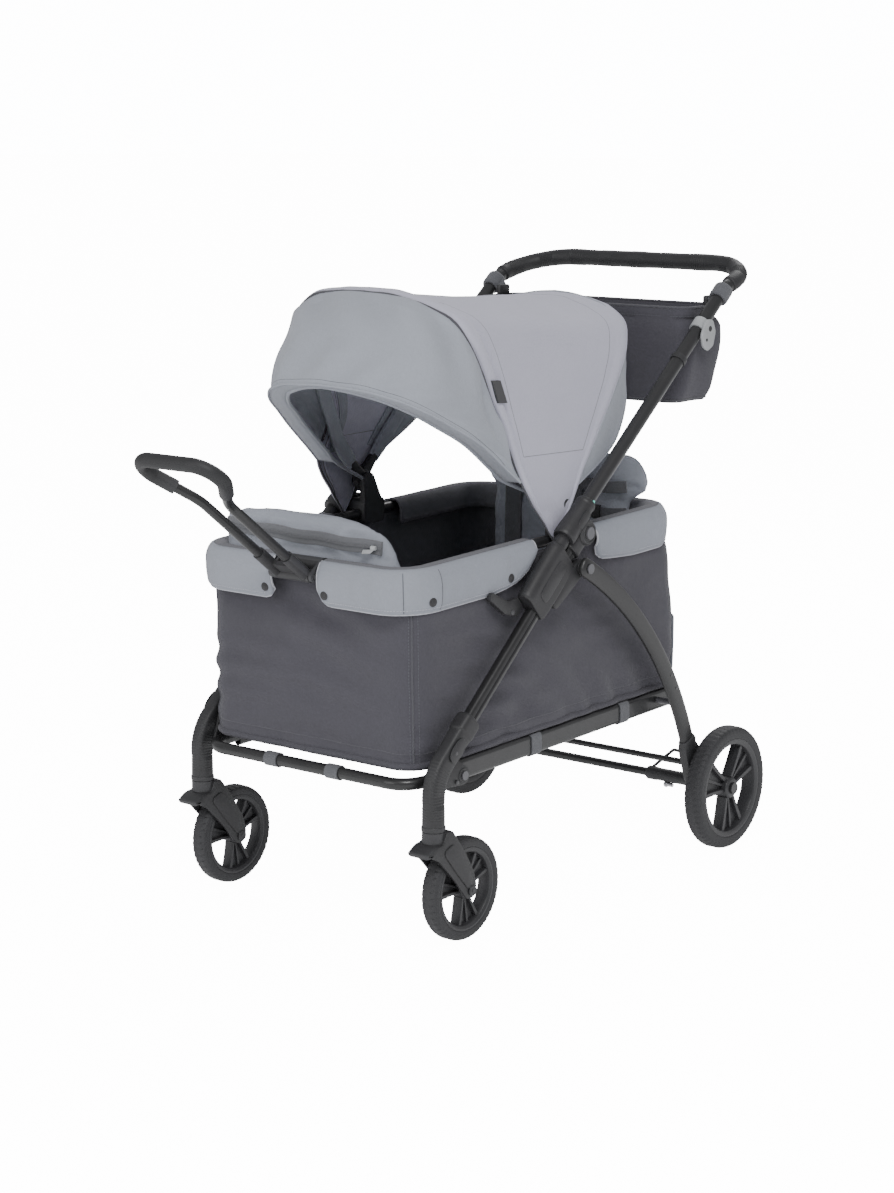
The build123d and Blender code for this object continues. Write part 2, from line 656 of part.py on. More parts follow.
def rim_cover(points):
    """Fabric cover over the rail: an upside-down U with a long outer skirt. The route keeps the
    basket on its left."""
    with BuildPart() as cover:
        with BuildLine() as path:
            route = FilletPolyline(*points, radius=RAIL_BEND)
        with BuildSketch(Plane(origin=route @ 0, x_dir=rail_plane.z_dir, z_dir=route % 0)):
            with BuildLine():
                FilletPolyline((-RIM_DROP_OUT, -RIM_OUT), (RIM_TOP, -RIM_OUT), (RIM_TOP, RIM_IN),
                               (-RIM_DROP_IN, RIM_IN), (-RIM_DROP_IN, RIM_IN - RIM_SKIN),
                               (RIM_TOP - RIM_SKIN, RIM_IN - RIM_SKIN),
                               (RIM_TOP - RIM_SKIN, RIM_SKIN - RIM_OUT),
                               (-RIM_DROP_OUT, RIM_SKIN - RIM_OUT), radius=1.5, close=True)
            make_face()
        sweep(path=path.wires()[0])
    return cover.part


RIM_GAP = 52.0              # half the opening for the pull handle
save("rim_cover_left", rim_cover([on_rail(RAIL_X, -75), on_rail(RAIL_X, RAIL_FRONT), on_rail(RIM_GAP, RAIL_FRONT)]))
save("rim_cover_right", rim_cover([on_rail(-RIM_GAP, RAIL_FRONT), on_rail(-RAIL_X, RAIL_FRONT),
                                   on_rail(-RAIL_X, -75)]))
save("rim_cover_rear", rim_cover([on_rail(-RAIL_X, 62), on_rail(-RAIL_X, RAIL_REAR), on_rail(RAIL_X, RAIL_REAR),
                                  on_rail(RAIL_X, 62)]))

MOUNT_IN, MOUNT_OUT = 209.0, 246.5
with BuildPart() as mounts:
    for _, sx in SIDES:
        plane, thick = slab(sx, MOUNT_IN, MOUNT_OUT)
        with BuildSketch(plane):
            with Locations((85, 648)):
                RectangleRounded(58, 46, 10)
        extrude(amount=thick)
        plane, thick = slab(sx, MOUNT_IN, MOUNT_IN + 11)
        with BuildSketch(plane):
            for y, z, r in ((66, 664, 8), (100, 664, 8), (*CANOPY_HUB, 16)):
                with Locations((y, z)):
                    Circle(r)
            make_hull()
        extrude(amount=thick)
        with BuildSketch(Plane(origin=on_rail(sx * RAIL_X, -60), x_dir=(1, 0, 0),
                               z_dir=on_rail(0, 1) - on_rail(0, 0))):
            Circle(RAIL_R + SEAT)
        extrude(amount=120, mode=Mode.SUBTRACT)
        add(rod(sx * 238.4, sx * 252, HUB, 6 + FIT), mode=Mode.SUBTRACT)
        add(rod(sx * (MOUNT_IN + 9.8), sx * 245.5, CANOPY_HUB, 5))
        add(rod(sx * 243.6, sx * 246, CANOPY_HUB, 9))
save("canopy_mounts", mounts.part)

# ---- canopy --------------------------------------------------------------------------------------
HUB_DISC_R = 14.0
BOWS = {        # half widths at the hub, part way up and at the top, with their distances from the hub
    "rear": ((240.0, 10.0), (233.0, 160.0), (205.0, 452.0)),
    "front": ((232.0, 10.0), (203.0, 180.0), (200.0, 452.0)),
    "visor": ((223.0, 10.0), (189.0, 165.0), (186.0, 433.0)),
}
BOW_BENDS = {"rear": [200, 130, 130, 200], "front": [250, 130, 130, 250], "visor": [300, 180, 180, 300]}


def fan_plane(angle):
    """Plane through the canopy's pivot; its y runs away from the pivot at angle."""
    return Plane(origin=(0, *CANOPY_HUB), x_dir=(1, 0, 0), z_dir=(0, -sin(radians(angle)), cos(radians(angle))))


def bow_points(shape, grow=0.0, start=None, squash=1.0):
    """Outline of a bow in its fan plane, grown outwards, from the right hub to the left one."""
    (x0, r0), (x1, r1), (x2, r2) = shape
    if start:
        x0, r0 = x0 + (x1 - x0) * (start - r0) / (r1 - r0), start
    half = [(x0 + grow, r0), (x1 + grow, r1 * squash), (x2 + grow, (r2 + grow) * squash)]
    return half + [(-x, r) for x, r in reversed(half)]


def bow(kind, angle, disc_in):
    """Round wire bow with a flat disc at each end."""
    plane = fan_plane(angle)
    points = [plane.from_local_coords(Vector(x, r, 0)) for x, r in bow_points(BOWS[kind])]
    with BuildPart() as made:
        add(swept_tube(points, BOW_BENDS[kind], BOW_R))
        for sx in (1, -1):
            add(rod(sx * disc_in, sx * (disc_in + 6.4), CANOPY_HUB, HUB_DISC_R))
            add(rod(sx * (disc_in - 9), sx * disc_in, CANOPY_HUB, 30), mode=Mode.SUBTRACT)
            add(rod(sx * (disc_in + 6.4), sx * (disc_in + 16), CANOPY_HUB, 24), mode=Mode.SUBTRACT)
            add(rod(sx * (disc_in - 1), sx * (disc_in + 8), CANOPY_HUB, 5 + FIT), mode=Mode.SUBTRACT)
    return made.part


save("canopy_rear_bow", bow("rear", REAR_BOW_ANGLE, 236.6))
save("canopy_front_bow", bow("front", FRONT_BOW_ANGLE, 228.6))
save("visor_wire", bow("visor", VISOR_ANGLE, 220.6))


def fabric(from_kind, from_angle, to_kind, to_angle, start=46.0, squash=1.0):
    """Skin stretched between two bow outlines."""
    with BuildPart() as skin:
        for kind, angle, press in ((from_kind, from_angle, 1.0), (to_kind, to_angle, squash)):
            with BuildSketch(fan_plane(angle)):
                with BuildLine():
                    outer = FilletPolyline(*bow_points(BOWS[kind], 8.5, start, press), radius=BOW_BENDS[kind])
                    inner = FilletPolyline(*bow_points(BOWS[kind], 6.0, start, press), radius=BOW_BENDS[kind])
                    Line(outer @ 0, inner @ 0)
                    Line(outer @ 1, inner @ 1)
                make_face()
        loft(ruled=True)
    return skin.part


save("canopy_fabric", fabric("rear", REAR_BOW_ANGLE, "front", FRONT_BOW_ANGLE))
save("visor_fabric", fabric("front", FRONT_BOW_ANGLE + 0.5, "visor", VISOR_ANGLE))
save("canopy_rear_flap", fabric("rear", REAR_BOW_ANGLE - 0.5, "rear", FLAP_ANGLE, squash=0.86))

# ---- pull handle ---------------------------------------------------------------------------------
pull_plane = Plane(origin=(0, *PULL_PIVOT), x_dir=(1, 0, 0),
                   z_dir=(0, -sin(radians(PULL_ANGLE)), -cos(radians(PULL_ANGLE))))


def on_pull(x, t):
    return pull_plane.from_local_coords(Vector(x, t, 0))


PULL_X, GRIP_X = 31.0, 82.0
TUBE_IN, FLARE, SHOULDER = 24.0, 236.0, 312.0
half = [(PULL_X, TUBE_IN), (PULL_X, FLARE), (GRIP_X, SHOULDER), (GRIP_X, PULL_REACH)]
loop = [on_pull(x, t) for x, t in half + [(-x, t) for x, t in reversed(half)]]
save("pull_handle_tube", swept_tube(loop, [60, 30, 36, 36, 30, 60], 8.5, 7))

grip_in = (PULL_X + (GRIP_X - PULL_X) * 0.5, FLARE + (SHOULDER - FLARE) * 0.5)
half = [grip_in, *half[2:]]
loop = [on_pull(x, t) for x, t in half + [(-x, t) for x, t in reversed(half)]]
save("pull_grip", swept_tube(loop, [30, 36, 36, 30], 12.4, 8.5 + SEAT))

with BuildPart() as socket:
    add(rod(-41, 41, PULL_PIVOT, 11))
    for sx in (1, -1):
        with BuildSketch(Plane(origin=on_pull(sx * PULL_X, 0), x_dir=(1, 0, 0), z_dir=on_pull(0, 1) - on_pull(0, 0))):
            Circle(11)
        extrude(amount=64)
        with BuildSketch(Plane(origin=on_pull(sx * PULL_X, 20), x_dir=(1, 0, 0),
                               z_dir=on_pull(0, 1) - on_pull(0, 0))):
            Circle(8.5 + SEAT)
        extrude(amount=50, mode=Mode.SUBTRACT)
    with BuildSketch(pull_plane.offset(-4)):
        with Locations((0, 22)):
            Rectangle(2 * PULL_X, 26)
    extrude(amount=8)
    for sx in (1, -1):
        with BuildSketch(Plane(origin=on_pull(sx * PULL_X, 20), x_dir=(1, 0, 0),
                               z_dir=on_pull(0, 1) - on_pull(0, 0))):
            Circle(8.5 + SEAT)
        extrude(amount=50, mode=Mode.SUBTRACT)
    add(rod(-50, 50, PULL_PIVOT, 4 + FIT), mode=Mode.SUBTRACT)
save("pull_socket", socket.part)

front_rail = on_rail(0, RAIL_FRONT)
with BuildPart() as saddle:
    with BuildSketch(Plane.YZ.offset(-48)):
        with Locations((front_rail.Y, front_rail.Z)):
            Circle(RAIL_R + 4.4)
        with Locations((front_rail.Y, front_rail.Z - 16)):
            Rectangle(24, 22)
    extrude(amount=96)
    for low, high in ((-48, -42), (42, 48)):
        add(rounded_plate(Plane.YZ.offset(low), high - low,
                          ((*PULL_PIVOT, 10), (front_rail.Y, front_rail.Z, 14), (front_rail.Y, front_rail.Z - 18, 9))))
    add(rod(-60, 60, (front_rail.Y, front_rail.Z), RAIL_R + SEAT), mode=Mode.SUBTRACT)
    add(rod(-42, 42, PULL_PIVOT, 12.5), mode=Mode.SUBTRACT)
    add(rod(-49, 49, PULL_PIVOT, 4 + SEAT), mode=Mode.SUBTRACT)
    add(rod(-50, 50, PULL_PIVOT, 4))
save("pull_handle_bracket", saddle.part)
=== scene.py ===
"""Looks of the folding pull wagon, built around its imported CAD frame.

Metres. +Z is up and the floor is Z = 0. The front is -Y, the rear +Y, and the left +X.
"""

import json
from math import cos, pi, radians, sin, tan

import bmesh
import bpy
import numpy as np
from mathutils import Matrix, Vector, noise


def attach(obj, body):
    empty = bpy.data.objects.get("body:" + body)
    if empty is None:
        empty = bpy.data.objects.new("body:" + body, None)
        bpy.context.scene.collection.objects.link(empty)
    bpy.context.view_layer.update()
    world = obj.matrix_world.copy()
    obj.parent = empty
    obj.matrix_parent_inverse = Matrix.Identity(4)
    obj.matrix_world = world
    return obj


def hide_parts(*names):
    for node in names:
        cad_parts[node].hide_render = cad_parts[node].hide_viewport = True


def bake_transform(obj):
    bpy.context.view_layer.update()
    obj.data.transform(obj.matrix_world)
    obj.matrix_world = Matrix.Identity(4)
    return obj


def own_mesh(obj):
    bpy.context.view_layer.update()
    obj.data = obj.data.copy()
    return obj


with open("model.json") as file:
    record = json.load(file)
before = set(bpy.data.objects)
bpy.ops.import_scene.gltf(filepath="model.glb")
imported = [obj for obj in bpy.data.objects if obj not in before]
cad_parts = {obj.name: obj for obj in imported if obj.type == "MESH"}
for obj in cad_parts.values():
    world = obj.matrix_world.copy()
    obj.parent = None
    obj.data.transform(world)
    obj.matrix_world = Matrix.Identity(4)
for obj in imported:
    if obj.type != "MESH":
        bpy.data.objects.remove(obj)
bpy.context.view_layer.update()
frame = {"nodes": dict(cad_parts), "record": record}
nodes = frame["nodes"]
slot_of = {s["node"]: s["material_slot"] for s in frame["record"]["subparts"]}
SIDES = (("left", 1), ("right", -1))

# ---- camera ----------------------------------------------------------------------------------
camera = bpy.data.objects.new("camera", bpy.data.cameras.new("camera"))
bpy.context.scene.collection.objects.link(camera)
camera.location = (2.8356, -3.4917, 1.3800)
camera.rotation_euler = (radians(79.1945), 0, radians(38.7523))
camera.data.lens = 76.72
camera.data.sensor_width = 36
bpy.context.scene.camera = camera

# ---- driving places, as in the frame -----------------------------------------------------------
MAIN_X = 0.266
LOWER_ANGLE, UPPER_ANGLE = radians(41.3), radians(39.0)
LOWER_FOOT = (-0.236, 0.3737)
KNEE = (0.535, 1.0586)
GRIP_SLOPE, GRIP_REACH = radians(17.0), 0.124
CASTER_Y = -0.3264
FRONT_AXLE = (-0.254, 0.0897)
REAR_AXLE = (0.4935, 0.1175)
BASE_PIVOT = (-0.240, 0.282)
BASE_TILT, RAIL_TILT = radians(1.4), radians(1.9)
RAIL_X, RAIL_HEIGHT = 0.226, 0.644
RAIL_FRONT, RAIL_REAR = -0.430, 0.320
CANOPY_HUB = (0.071, 0.705)
X_AXIS = np.array((1.0, 0.0, 0.0))


def along(u, w=0.0):
    """(y, z) at u up the lower tube and w square to it."""
    c, s = cos(LOWER_ANGLE), sin(LOWER_ANGLE)
    return LOWER_FOOT[0] + u * c - w * s, LOWER_FOOT[1] + u * s + w * c


def down_push_tube(t):
    """(y, z) at t down the push tube from the knee."""
    return KNEE[0] - t * cos(UPPER_ANGLE), KNEE[1] - t * sin(UPPER_ANGLE)


HUB = along(0.427)
LEG_PIVOT = along(0.374, -0.032)


def on_base(x, y, z=0.0):
    """Point of the base frame's plane, y along it from its pivot."""
    c, s = cos(BASE_TILT), sin(BASE_TILT)
    return np.array((x, BASE_PIVOT[0] + y * c - z * s, BASE_PIVOT[1] + y * s + z * c))


def on_rail(x, y, z=0.0):
    """Point of the top rail's plane, y along it from the hub."""
    c, s = cos(RAIL_TILT), sin(RAIL_TILT)
    return np.array((x, HUB[0] + y * c - z * s, RAIL_HEIGHT + y * s + z * c))


def fan(x, r, angle):
    """Point at r from the canopy's pivot, at an angle up from the rear."""
    a = radians(angle)
    return (x, CANOPY_HUB[0] + r * cos(a), CANOPY_HUB[1] + r * sin(a))


# ---- materials -----------------------------------------------------------------------------------
WEAVE = 1500 / 6.28     # scale of the weave's waves


def new_material(name):
    """A material with its node tree and its main shader."""
    material = bpy.data.materials.new(name)
    material.use_nodes = True
    tree = material.node_tree
    return material, tree, tree.nodes["Principled BSDF"]


def add_node(tree, kind, settings=None, **inputs):
    """A shader node with its settings, and with inputs that are values or other nodes' outputs."""
    made = tree.nodes.new(kind)
    for key, value in (settings or {}).items():
        setattr(made, key, value)
    for key, value in inputs.items():
        socket = made.inputs[key.replace("_", " ")]
        if isinstance(value, bpy.types.NodeSocket):
            tree.links.new(value, socket)
        else:
            socket.default_value = value
    return made


def tint(colour, k):
    """A colour made k times as light, with alpha."""
    return (*[min(1.0, c * k) for c in colour], 1.0)


def two_tone(tree, factor, colour, low, high, spread=0.2):
    """Colour between two tints of one colour, chosen by a texture."""
    ramp = add_node(tree, "ShaderNodeValToRGB", Fac=factor)
    ramp.color_ramp.elements[0].position = 0.5 - spread
    ramp.color_ramp.elements[0].color = tint(colour, low)
    ramp.color_ramp.elements[1].position = 0.5 + spread
    ramp.color_ramp.elements[1].color = tint(colour, high)
    return ramp.outputs["Color"]


def mixed(tree, a, b, factor):
    """Colour a changing to colour b by a factor."""
    mix = add_node(tree, "ShaderNodeMix", {"data_type": "RGBA"}, Factor=factor)
    tree.links.new(a, mix.inputs[6])
    tree.links.new(b, mix.inputs[7])
    return mix.outputs[2]


def fabric_material(name, colour, melange, grain, sheen=0.25):
    """Woven cloth: two thread tints, a plain weave and soft unevenness."""
    material, tree, shader = new_material(name)
    place = add_node(tree, "ShaderNodeTexCoord").outputs["Object"]
    threads = add_node(tree, "ShaderNodeTexNoise", Vector=place, Scale=grain, Detail=3.0)
    slubs = add_node(tree, "ShaderNodeTexNoise", Vector=place, Scale=grain * 0.22, Detail=2.0)
    patches = add_node(tree, "ShaderNodeTexNoise", Vector=place, Scale=7.0, Detail=2.0)
    fine = two_tone(tree, threads.outputs["Fac"], colour, 1 - melange, 1 + melange)
    coarse = two_tone(tree, slubs.outputs["Fac"], colour, 1 - melange * 0.6, 1 + melange * 0.6)
    slow = two_tone(tree, patches.outputs["Fac"], colour, 0.95, 1.05)
    base = mixed(tree, mixed(tree, fine, coarse, 0.45), slow, 0.35)
    tree.links.new(base, shader.inputs["Base Color"])
    shader.inputs["Roughness"].default_value = 0.88
    shader.inputs["Sheen Weight"].default_value = sheen
    shader.inputs["Sheen Roughness"].default_value = 0.5
    waves = [add_node(tree, "ShaderNodeTexWave", {"wave_type": "BANDS", "bands_direction": direction},
                      Vector=place, Scale=WEAVE, Distortion=0.6, Detail=1.0).outputs["Fac"] for direction in "XYZ"]
    heights = waves[0]
    for wave in waves[1:]:
        total = add_node(tree, "ShaderNodeMath", {"operation": "ADD"})
        tree.links.new(heights, total.inputs[0])
        tree.links.new(wave, total.inputs[1])
        heights = total.outputs[0]
    weave_bump = add_node(tree, "ShaderNodeBump", Strength=0.35, Distance=0.0004, Height=heights)
    soft = add_node(tree, "ShaderNodeTexNoise", Vector=place, Scale=38.0, Detail=2.0)
    soft_bump = add_node(tree, "ShaderNodeBump", Strength=0.22, Distance=0.004, Height=soft.outputs["Fac"],
                         Normal=weave_bump.outputs["Normal"])
    tree.links.new(soft_bump.outputs["Normal"], shader.inputs["Normal"])
    return material


def plastic_material(name, colour, rough=0.5, grain=900.0, bump=0.12, edge=1.9, coat=0.0):
    """Moulded plastic: fine grain, faint mottling and sharp edges drawn lighter as a painted highlight."""
    material, tree, shader = new_material(name)
    place = add_node(tree, "ShaderNodeTexCoord").outputs["Object"]
    patches = add_node(tree, "ShaderNodeTexNoise", Vector=place, Scale=30.0, Detail=3.0)
    base = two_tone(tree, patches.outputs["Fac"], colour, 0.88, 1.12)
    # painted highlight: sharp edges, found by pointiness, get a lighter tint of the plastic's colour
    edge_highlight = add_node(tree, "ShaderNodeRGB")
    edge_highlight.outputs[0].default_value = tint(colour, edge)
    point = add_node(tree, "ShaderNodeNewGeometry").outputs["Pointiness"]
    ramp = add_node(tree, "ShaderNodeValToRGB", Fac=point)
    ramp.color_ramp.elements[0].position = 0.53
    ramp.color_ramp.elements[1].position = 0.60
    tree.links.new(mixed(tree, base, edge_highlight.outputs[0], ramp.outputs["Color"]), shader.inputs["Base Color"])
    spread = add_node(tree, "ShaderNodeMapRange", Value=patches.outputs["Fac"], To_Min=rough - 0.07,
                      To_Max=rough + 0.07)
    tree.links.new(spread.outputs[0], shader.inputs["Roughness"])
    shader.inputs["Coat Weight"].default_value = coat
    grains = add_node(tree, "ShaderNodeTexNoise", Vector=place, Scale=grain, Detail=2.0)
    relief = add_node(tree, "ShaderNodeBump", Strength=bump, Distance=0.0006, Height=grains.outputs["Fac"])
    tree.links.new(relief.outputs["Normal"], shader.inputs["Normal"])
    return material


def webbing_material(name, colour):
    """Narrow woven band with close cross ribs."""
    material, tree, shader = new_material(name)
    place = add_node(tree, "ShaderNodeTexCoord").outputs["Object"]
    ribs = add_node(tree, "ShaderNodeTexWave", {"wave_type": "BANDS", "bands_direction": "DIAGONAL"},
                    Vector=place, Scale=420.0, Distortion=0.4)
    tree.links.new(two_tone(tree, ribs.outputs["Fac"], colour, 0.8, 1.2), shader.inputs["Base Color"])
    shader.inputs["Roughness"].default_value = 0.8
    shader.inputs["Sheen Weight"].default_value = 0.2
    relief = add_node(tree, "ShaderNodeBump", Strength=0.5, Distance=0.0005, Height=ribs.outputs["Fac"])
    tree.links.new(relief.outputs["Normal"], shader.inputs["Normal"])
    return material


PLASTICS = {    # colour, roughness, then the grain's scale and depth, lightness of the painted edge highlight and coat
    "frame_black": ((0.016, 0.016, 0.017), 0.36, 1400, 0.05, 1.6, 0.15),
    "leg_black": ((0.020, 0.020, 0.021), 0.40, 1400, 0.05, 1.6, 0.1),
    "moulded_black": ((0.026, 0.026, 0.028), 0.50),
    "grip_black": ((0.020, 0.020, 0.022), 0.58, 700, 0.2),
    "rim_plastic": ((0.034, 0.034, 0.037), 0.44, 900, 0.1, 2.0),
    "tyre_black": ((0.030, 0.030, 0.033), 0.62, 1000, 0.25, 1.5),
    "steel": ((0.62, 0.62, 0.64), 0.26, 1600, 0.06, 1.15),
    "indicator": ((0.18, 0.70, 0.58), 0.3, 900, 0.03, 1.1),
    "board": ((0.22, 0.16, 0.10), 0.7, 500, 0.2, 1.1),
    "cable": ((0.012, 0.012, 0.012), 0.5),
    "clip_grey": ((0.36, 0.37, 0.38), 0.5, 900, 0.1, 1.2),
}
FABRICS = {     # colour, difference between threads, their scale and sheen
    "basket_fabric": ((0.062, 0.060, 0.074), 0.22, 1000, 0.12),
    "rim_fabric": ((0.290, 0.308, 0.352), 0.12, 1100, 0.12),
    "canopy_fabric": ((0.465, 0.462, 0.550), 0.10, 1300, 0.12),
    "visor_fabric": ((0.325, 0.345, 0.390), 0.12, 1200, 0.12),
    "lining_fabric": ((0.150, 0.150, 0.168), 0.2, 1200, 0.1),
}
materials = {name: plastic_material(name, *look) for name, look in PLASTICS.items()}
materials |= {name: fabric_material(name, *look) for name, look in FABRICS.items()}
materials["webbing"] = webbing_material("webbing", (0.105, 0.108, 0.120))
materials["steel"].node_tree.nodes["Principled BSDF"].inputs["Metallic"].default_value = 1.0
thread_dark, thread_mid, thread_light = (
    plastic_material(name, colour, 0.9, 1500, 0.3, 1.0)
    for name, colour in (("thread_dark", (0.12, 0.125, 0.14)), ("thread_mid", (0.23, 0.23, 0.26)),
                         ("thread_light", (0.50, 0.51, 0.55))))
zipper_grey = fabric_material("zipper_grey", (0.125, 0.128, 0.140), 0.15, 1500)
dark_steel = plastic_material("dark_steel", (0.045, 0.045, 0.050), 0.32, 1200, 0.06, 2.2, 0.2)
# dark piping cloth; on the canopy's front edge it also serves as a painted shadow line
dark_piping_and_shadow = fabric_material("dark_piping_and_shadow", (0.070, 0.069, 0.082), 0.2, 1400)


# ---- mesh tools ------------------------------------------------------------------------------------
def run_along(points):
    """Distance travelled at each point of a line."""
    return np.r_[0, np.cumsum(np.linalg.norm(np.diff(points, axis=0), axis=1))]


def unit(vectors):
    """Vectors drawn to length 1."""
    return vectors / np.linalg.norm(vectors, axis=-1, keepdims=True)


def bell(x, at, wide):
    """1 where x is at the middle, falling off smoothly to both sides."""
    return np.exp(-((x - at) / wide) ** 2)


def looped(points):
    """A closed line, with its first point repeated at its end."""
    return np.vstack([points, points[:1]])


def at_x(yz, x):
    """Points (x, y, z) of a (y, z) outline at one x."""
    return np.column_stack([np.full(len(yz), x), yz])


def on_plane(centre, points, first, second):
    """Flat points carried to a centre with two directions."""
    return centre + points[:, :1] * first + points[:, 1:] * second


def evenly(points, count):
    """The same line with its points at even spacing."""
    points = np.asarray(points, float)
    run = run_along(points)
    at = np.linspace(0, run[-1], count)
    return np.stack([np.interp(at, run, points[:, k]) for k in range(points.shape[1])], 1)


def through(points, count):
    """Even points on a smooth curve through the given ones."""
    p = np.asarray(points, float)
    ends = np.vstack([2 * p[0] - p[1], p, 2 * p[-1] - p[-2]])
    t = np.linspace(0, 1, 24, endpoint=False)[:, None]
    spans = []
    for a, b, c, d in zip(ends, ends[1:], ends[2:], ends[3:]):
        spans.append(0.5 * (2 * b + (c - a) * t + (2 * a - 5 * b + 4 * c - d) * t ** 2
                            + (3 * b - a - 3 * c + d) * t ** 3))
    spans.append(p[-1:])
    return evenly(np.vstack(spans), count)


def rounded(points, radii, step=0.006):
    """Straight runs joined by arcs, sampled."""
    p = [np.asarray(q, float) for q in points]
    radii = [radii] * (len(p) - 2) if np.isscalar(radii) else radii
    line = [p[0]]
    for a, b, c, r in zip(p, p[1:], p[2:], radii):
        d1 = (b - a) / np.linalg.norm(b - a)
        d2 = (c - b) / np.linalg.norm(c - b)
        turn = np.arccos(np.clip(d1 @ d2, -1, 1))
        start = b - d1 * r * tan(turn / 2)
        side = d2 - d1 * (d1 @ d2)
        side /= np.linalg.norm(side)
        count = max(4, int(r * turn / step))
        for angle in np.linspace(0, turn, count):
            line.append(start + r * (sin(angle) * d1 + (1 - cos(angle)) * side))
    line.append(p[-1])
    line = np.array(line)
    length = np.linalg.norm(np.diff(line, axis=0), axis=1).sum()
    return evenly(line, max(3, int(length / step)))


def frames_along(path, side=None):
    """Two directions square to the path at each of its points."""
    tangent = unit(np.gradient(path, axis=0))
    if side is not None:
        first = np.repeat(np.asarray(side, float)[None], len(path), 0)
        first = unit(first - tangent * (first * tangent).sum(1)[:, None])
        return first, np.cross(tangent, first)
    now = np.cross(tangent[0], (0.3, 0.5, 0.8))
    first = []
    for t in tangent:
        now = now - t * (now @ t)
        now = now / np.linalg.norm(now)
        first.append(now)
    first = np.array(first)
    return first, np.cross(tangent, first)


def circle(radius, count=24):
    """Points of a circle round 0, 0."""
    a = np.linspace(0, 2 * pi, count, endpoint=False)
    return np.stack([radius * np.cos(a), radius * np.sin(a)], 1)


def oval(wide, deep, count=40, power=4.0):
    """Superellipse, wide across and deep along."""
    a = np.linspace(0, 2 * pi, count, endpoint=False)
    c, s = np.cos(a), np.sin(a)
    return np.stack([wide / 2 * np.sign(c) * np.abs(c) ** (2 / power),
                     deep / 2 * np.sign(s) * np.abs(s) ** (2 / power)], 1)


def hull(points):
    """Convex hull of points of a plane, in order."""
    p = sorted(map(tuple, np.round(points, 7)))
    halves = []
    for side in (p, p[::-1]):
        chain = []
        for q in side:
            while len(chain) > 1:
                (ax, ay), (bx, by) = chain[-2:]
                if (bx - ax) * (q[1] - ay) - (by - ay) * (q[0] - ax) > 0:
                    break
                chain.pop()
            chain.append(q)
        halves += chain[:-1]
    return np.array(halves)


def grid_faces(rows, columns, wrap=False):
    """Four-sided faces over a grid of points; wrap joins the last column to the first."""
    faces = []
    for i in range(rows - 1):
        for j in range(columns if wrap else columns - 1):
            k = (j + 1) % columns
            faces.append((i * columns + j, i * columns + k, (i + 1) * columns + k, (i + 1) * columns + j))
    return faces


def rings_mesh(rings, caps=True):
    """Vertices and faces of a closed tube through the rings."""
    rings = np.asarray(rings)
    n, m = rings.shape[:2]
    faces = grid_faces(n, m, wrap=True)
    if caps:
        faces.append(tuple(range(m))[::-1])
        faces.append(tuple((n - 1) * m + j for j in range(m)))
    return rings.reshape(-1, 3), faces


def swept(path, section, scale=None, side=None, caps=True):
    """Vertices and faces of a section carried along a path; scale gives its size at each point."""
    path = np.asarray(path, float)
    first, second = frames_along(path, side)
    scale = np.ones(len(path)) if scale is None else scale
    return rings_mesh([on_plane(p, section * k, a, b) for p, a, b, k in zip(path, first, second, scale)], caps)


def turned(centre, profile, count=96, axis="x", closed=True):
    """Vertices and faces of a profile of (radius, place on the axis) turned about an axis."""
    profile = np.asarray(profile, float)
    rings = []
    for a in np.linspace(0, 2 * pi, count, endpoint=False):
        r, h = profile[:, 0], profile[:, 1]
        c, s = r * cos(a), r * sin(a)
        rings.append(np.stack({"x": (h, c, s), "z": (c, s, h)}[axis], 1))
    rings = np.array(rings) + np.asarray(centre)
    n, m = rings.shape[:2]
    faces = []
    for i in range(n):
        after = (i + 1) % n
        for j in range(m if closed else m - 1):
            k = (j + 1) % m
            faces.append((i * m + j, i * m + k, after * m + k, after * m + j))
    return rings.reshape(-1, 3), faces


def joined(*meshes):
    """Several (vertices, faces) as one."""
    vertices, faces, base = [], [], 0
    for v, f in meshes:
        vertices.append(np.asarray(v, float))
        faces += [tuple(i + base for i in face) for face in f]
        base += len(v)
    return np.vstack(vertices), faces


def wrapped(circles, count=28):
    """Outline that wraps circles given as (y, z, radius)."""
    return hull(np.vstack([circle(r, count) + (y, z) for y, z, r in circles]))


def piece(name, mesh, material, body, replaces=(), bevel=0.0, sharp=38, solid=0.0):
    """A named mesh piece that rides on a body.

    Known fault: a piece that isn't given a slot says "webbing", whatever it is made of. The frame's
    materials hold the slots' names already, so Blender adds a number to the new ones' names.
    """
    vertices, faces = mesh
    data = bpy.data.meshes.new(name)
    data.from_pydata([tuple(v) for v in vertices], [], faces)
    made = bpy.data.objects.new(name, data)
    bpy.context.scene.collection.objects.link(made)
    material = materials[material] if isinstance(material, str) else material
    data.materials.append(material)
    work = bmesh.new()
    work.from_mesh(data)
    bmesh.ops.remove_doubles(work, verts=work.verts, dist=1e-6)
    bmesh.ops.recalc_face_normals(work, faces=work.faces)
    for face in work.faces:
        face.smooth = True
    for edge in work.edges:
        if len(edge.link_faces) == 2 and edge.calc_face_angle(0) > radians(sharp):
            edge.smooth = False
    work.to_mesh(data)
    work.free()
    if bevel:
        rounding = made.modifiers.new("bevel", "BEVEL")
        rounding.width = bevel
        rounding.segments = 3
        rounding.limit_method = "ANGLE"
        rounding.angle_limit = radians(35)
        rounding.harden_normals = True
    if solid:
        shell = made.modifiers.new("solid", "SOLIDIFY")
        shell.thickness = solid
        shell.offset = 0
    if body:
        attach(made, body)
    if replaces:
        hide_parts(*replaces)
    return made


def along_normals(grid, heights):
    """A grid of points moved along its own normals."""
    normal = np.cross(np.gradient(grid, axis=0), np.gradient(grid, axis=1))
    normal /= np.maximum(np.linalg.norm(normal, axis=2), 1e-9)[..., None]
    return grid + normal * heights[..., None]


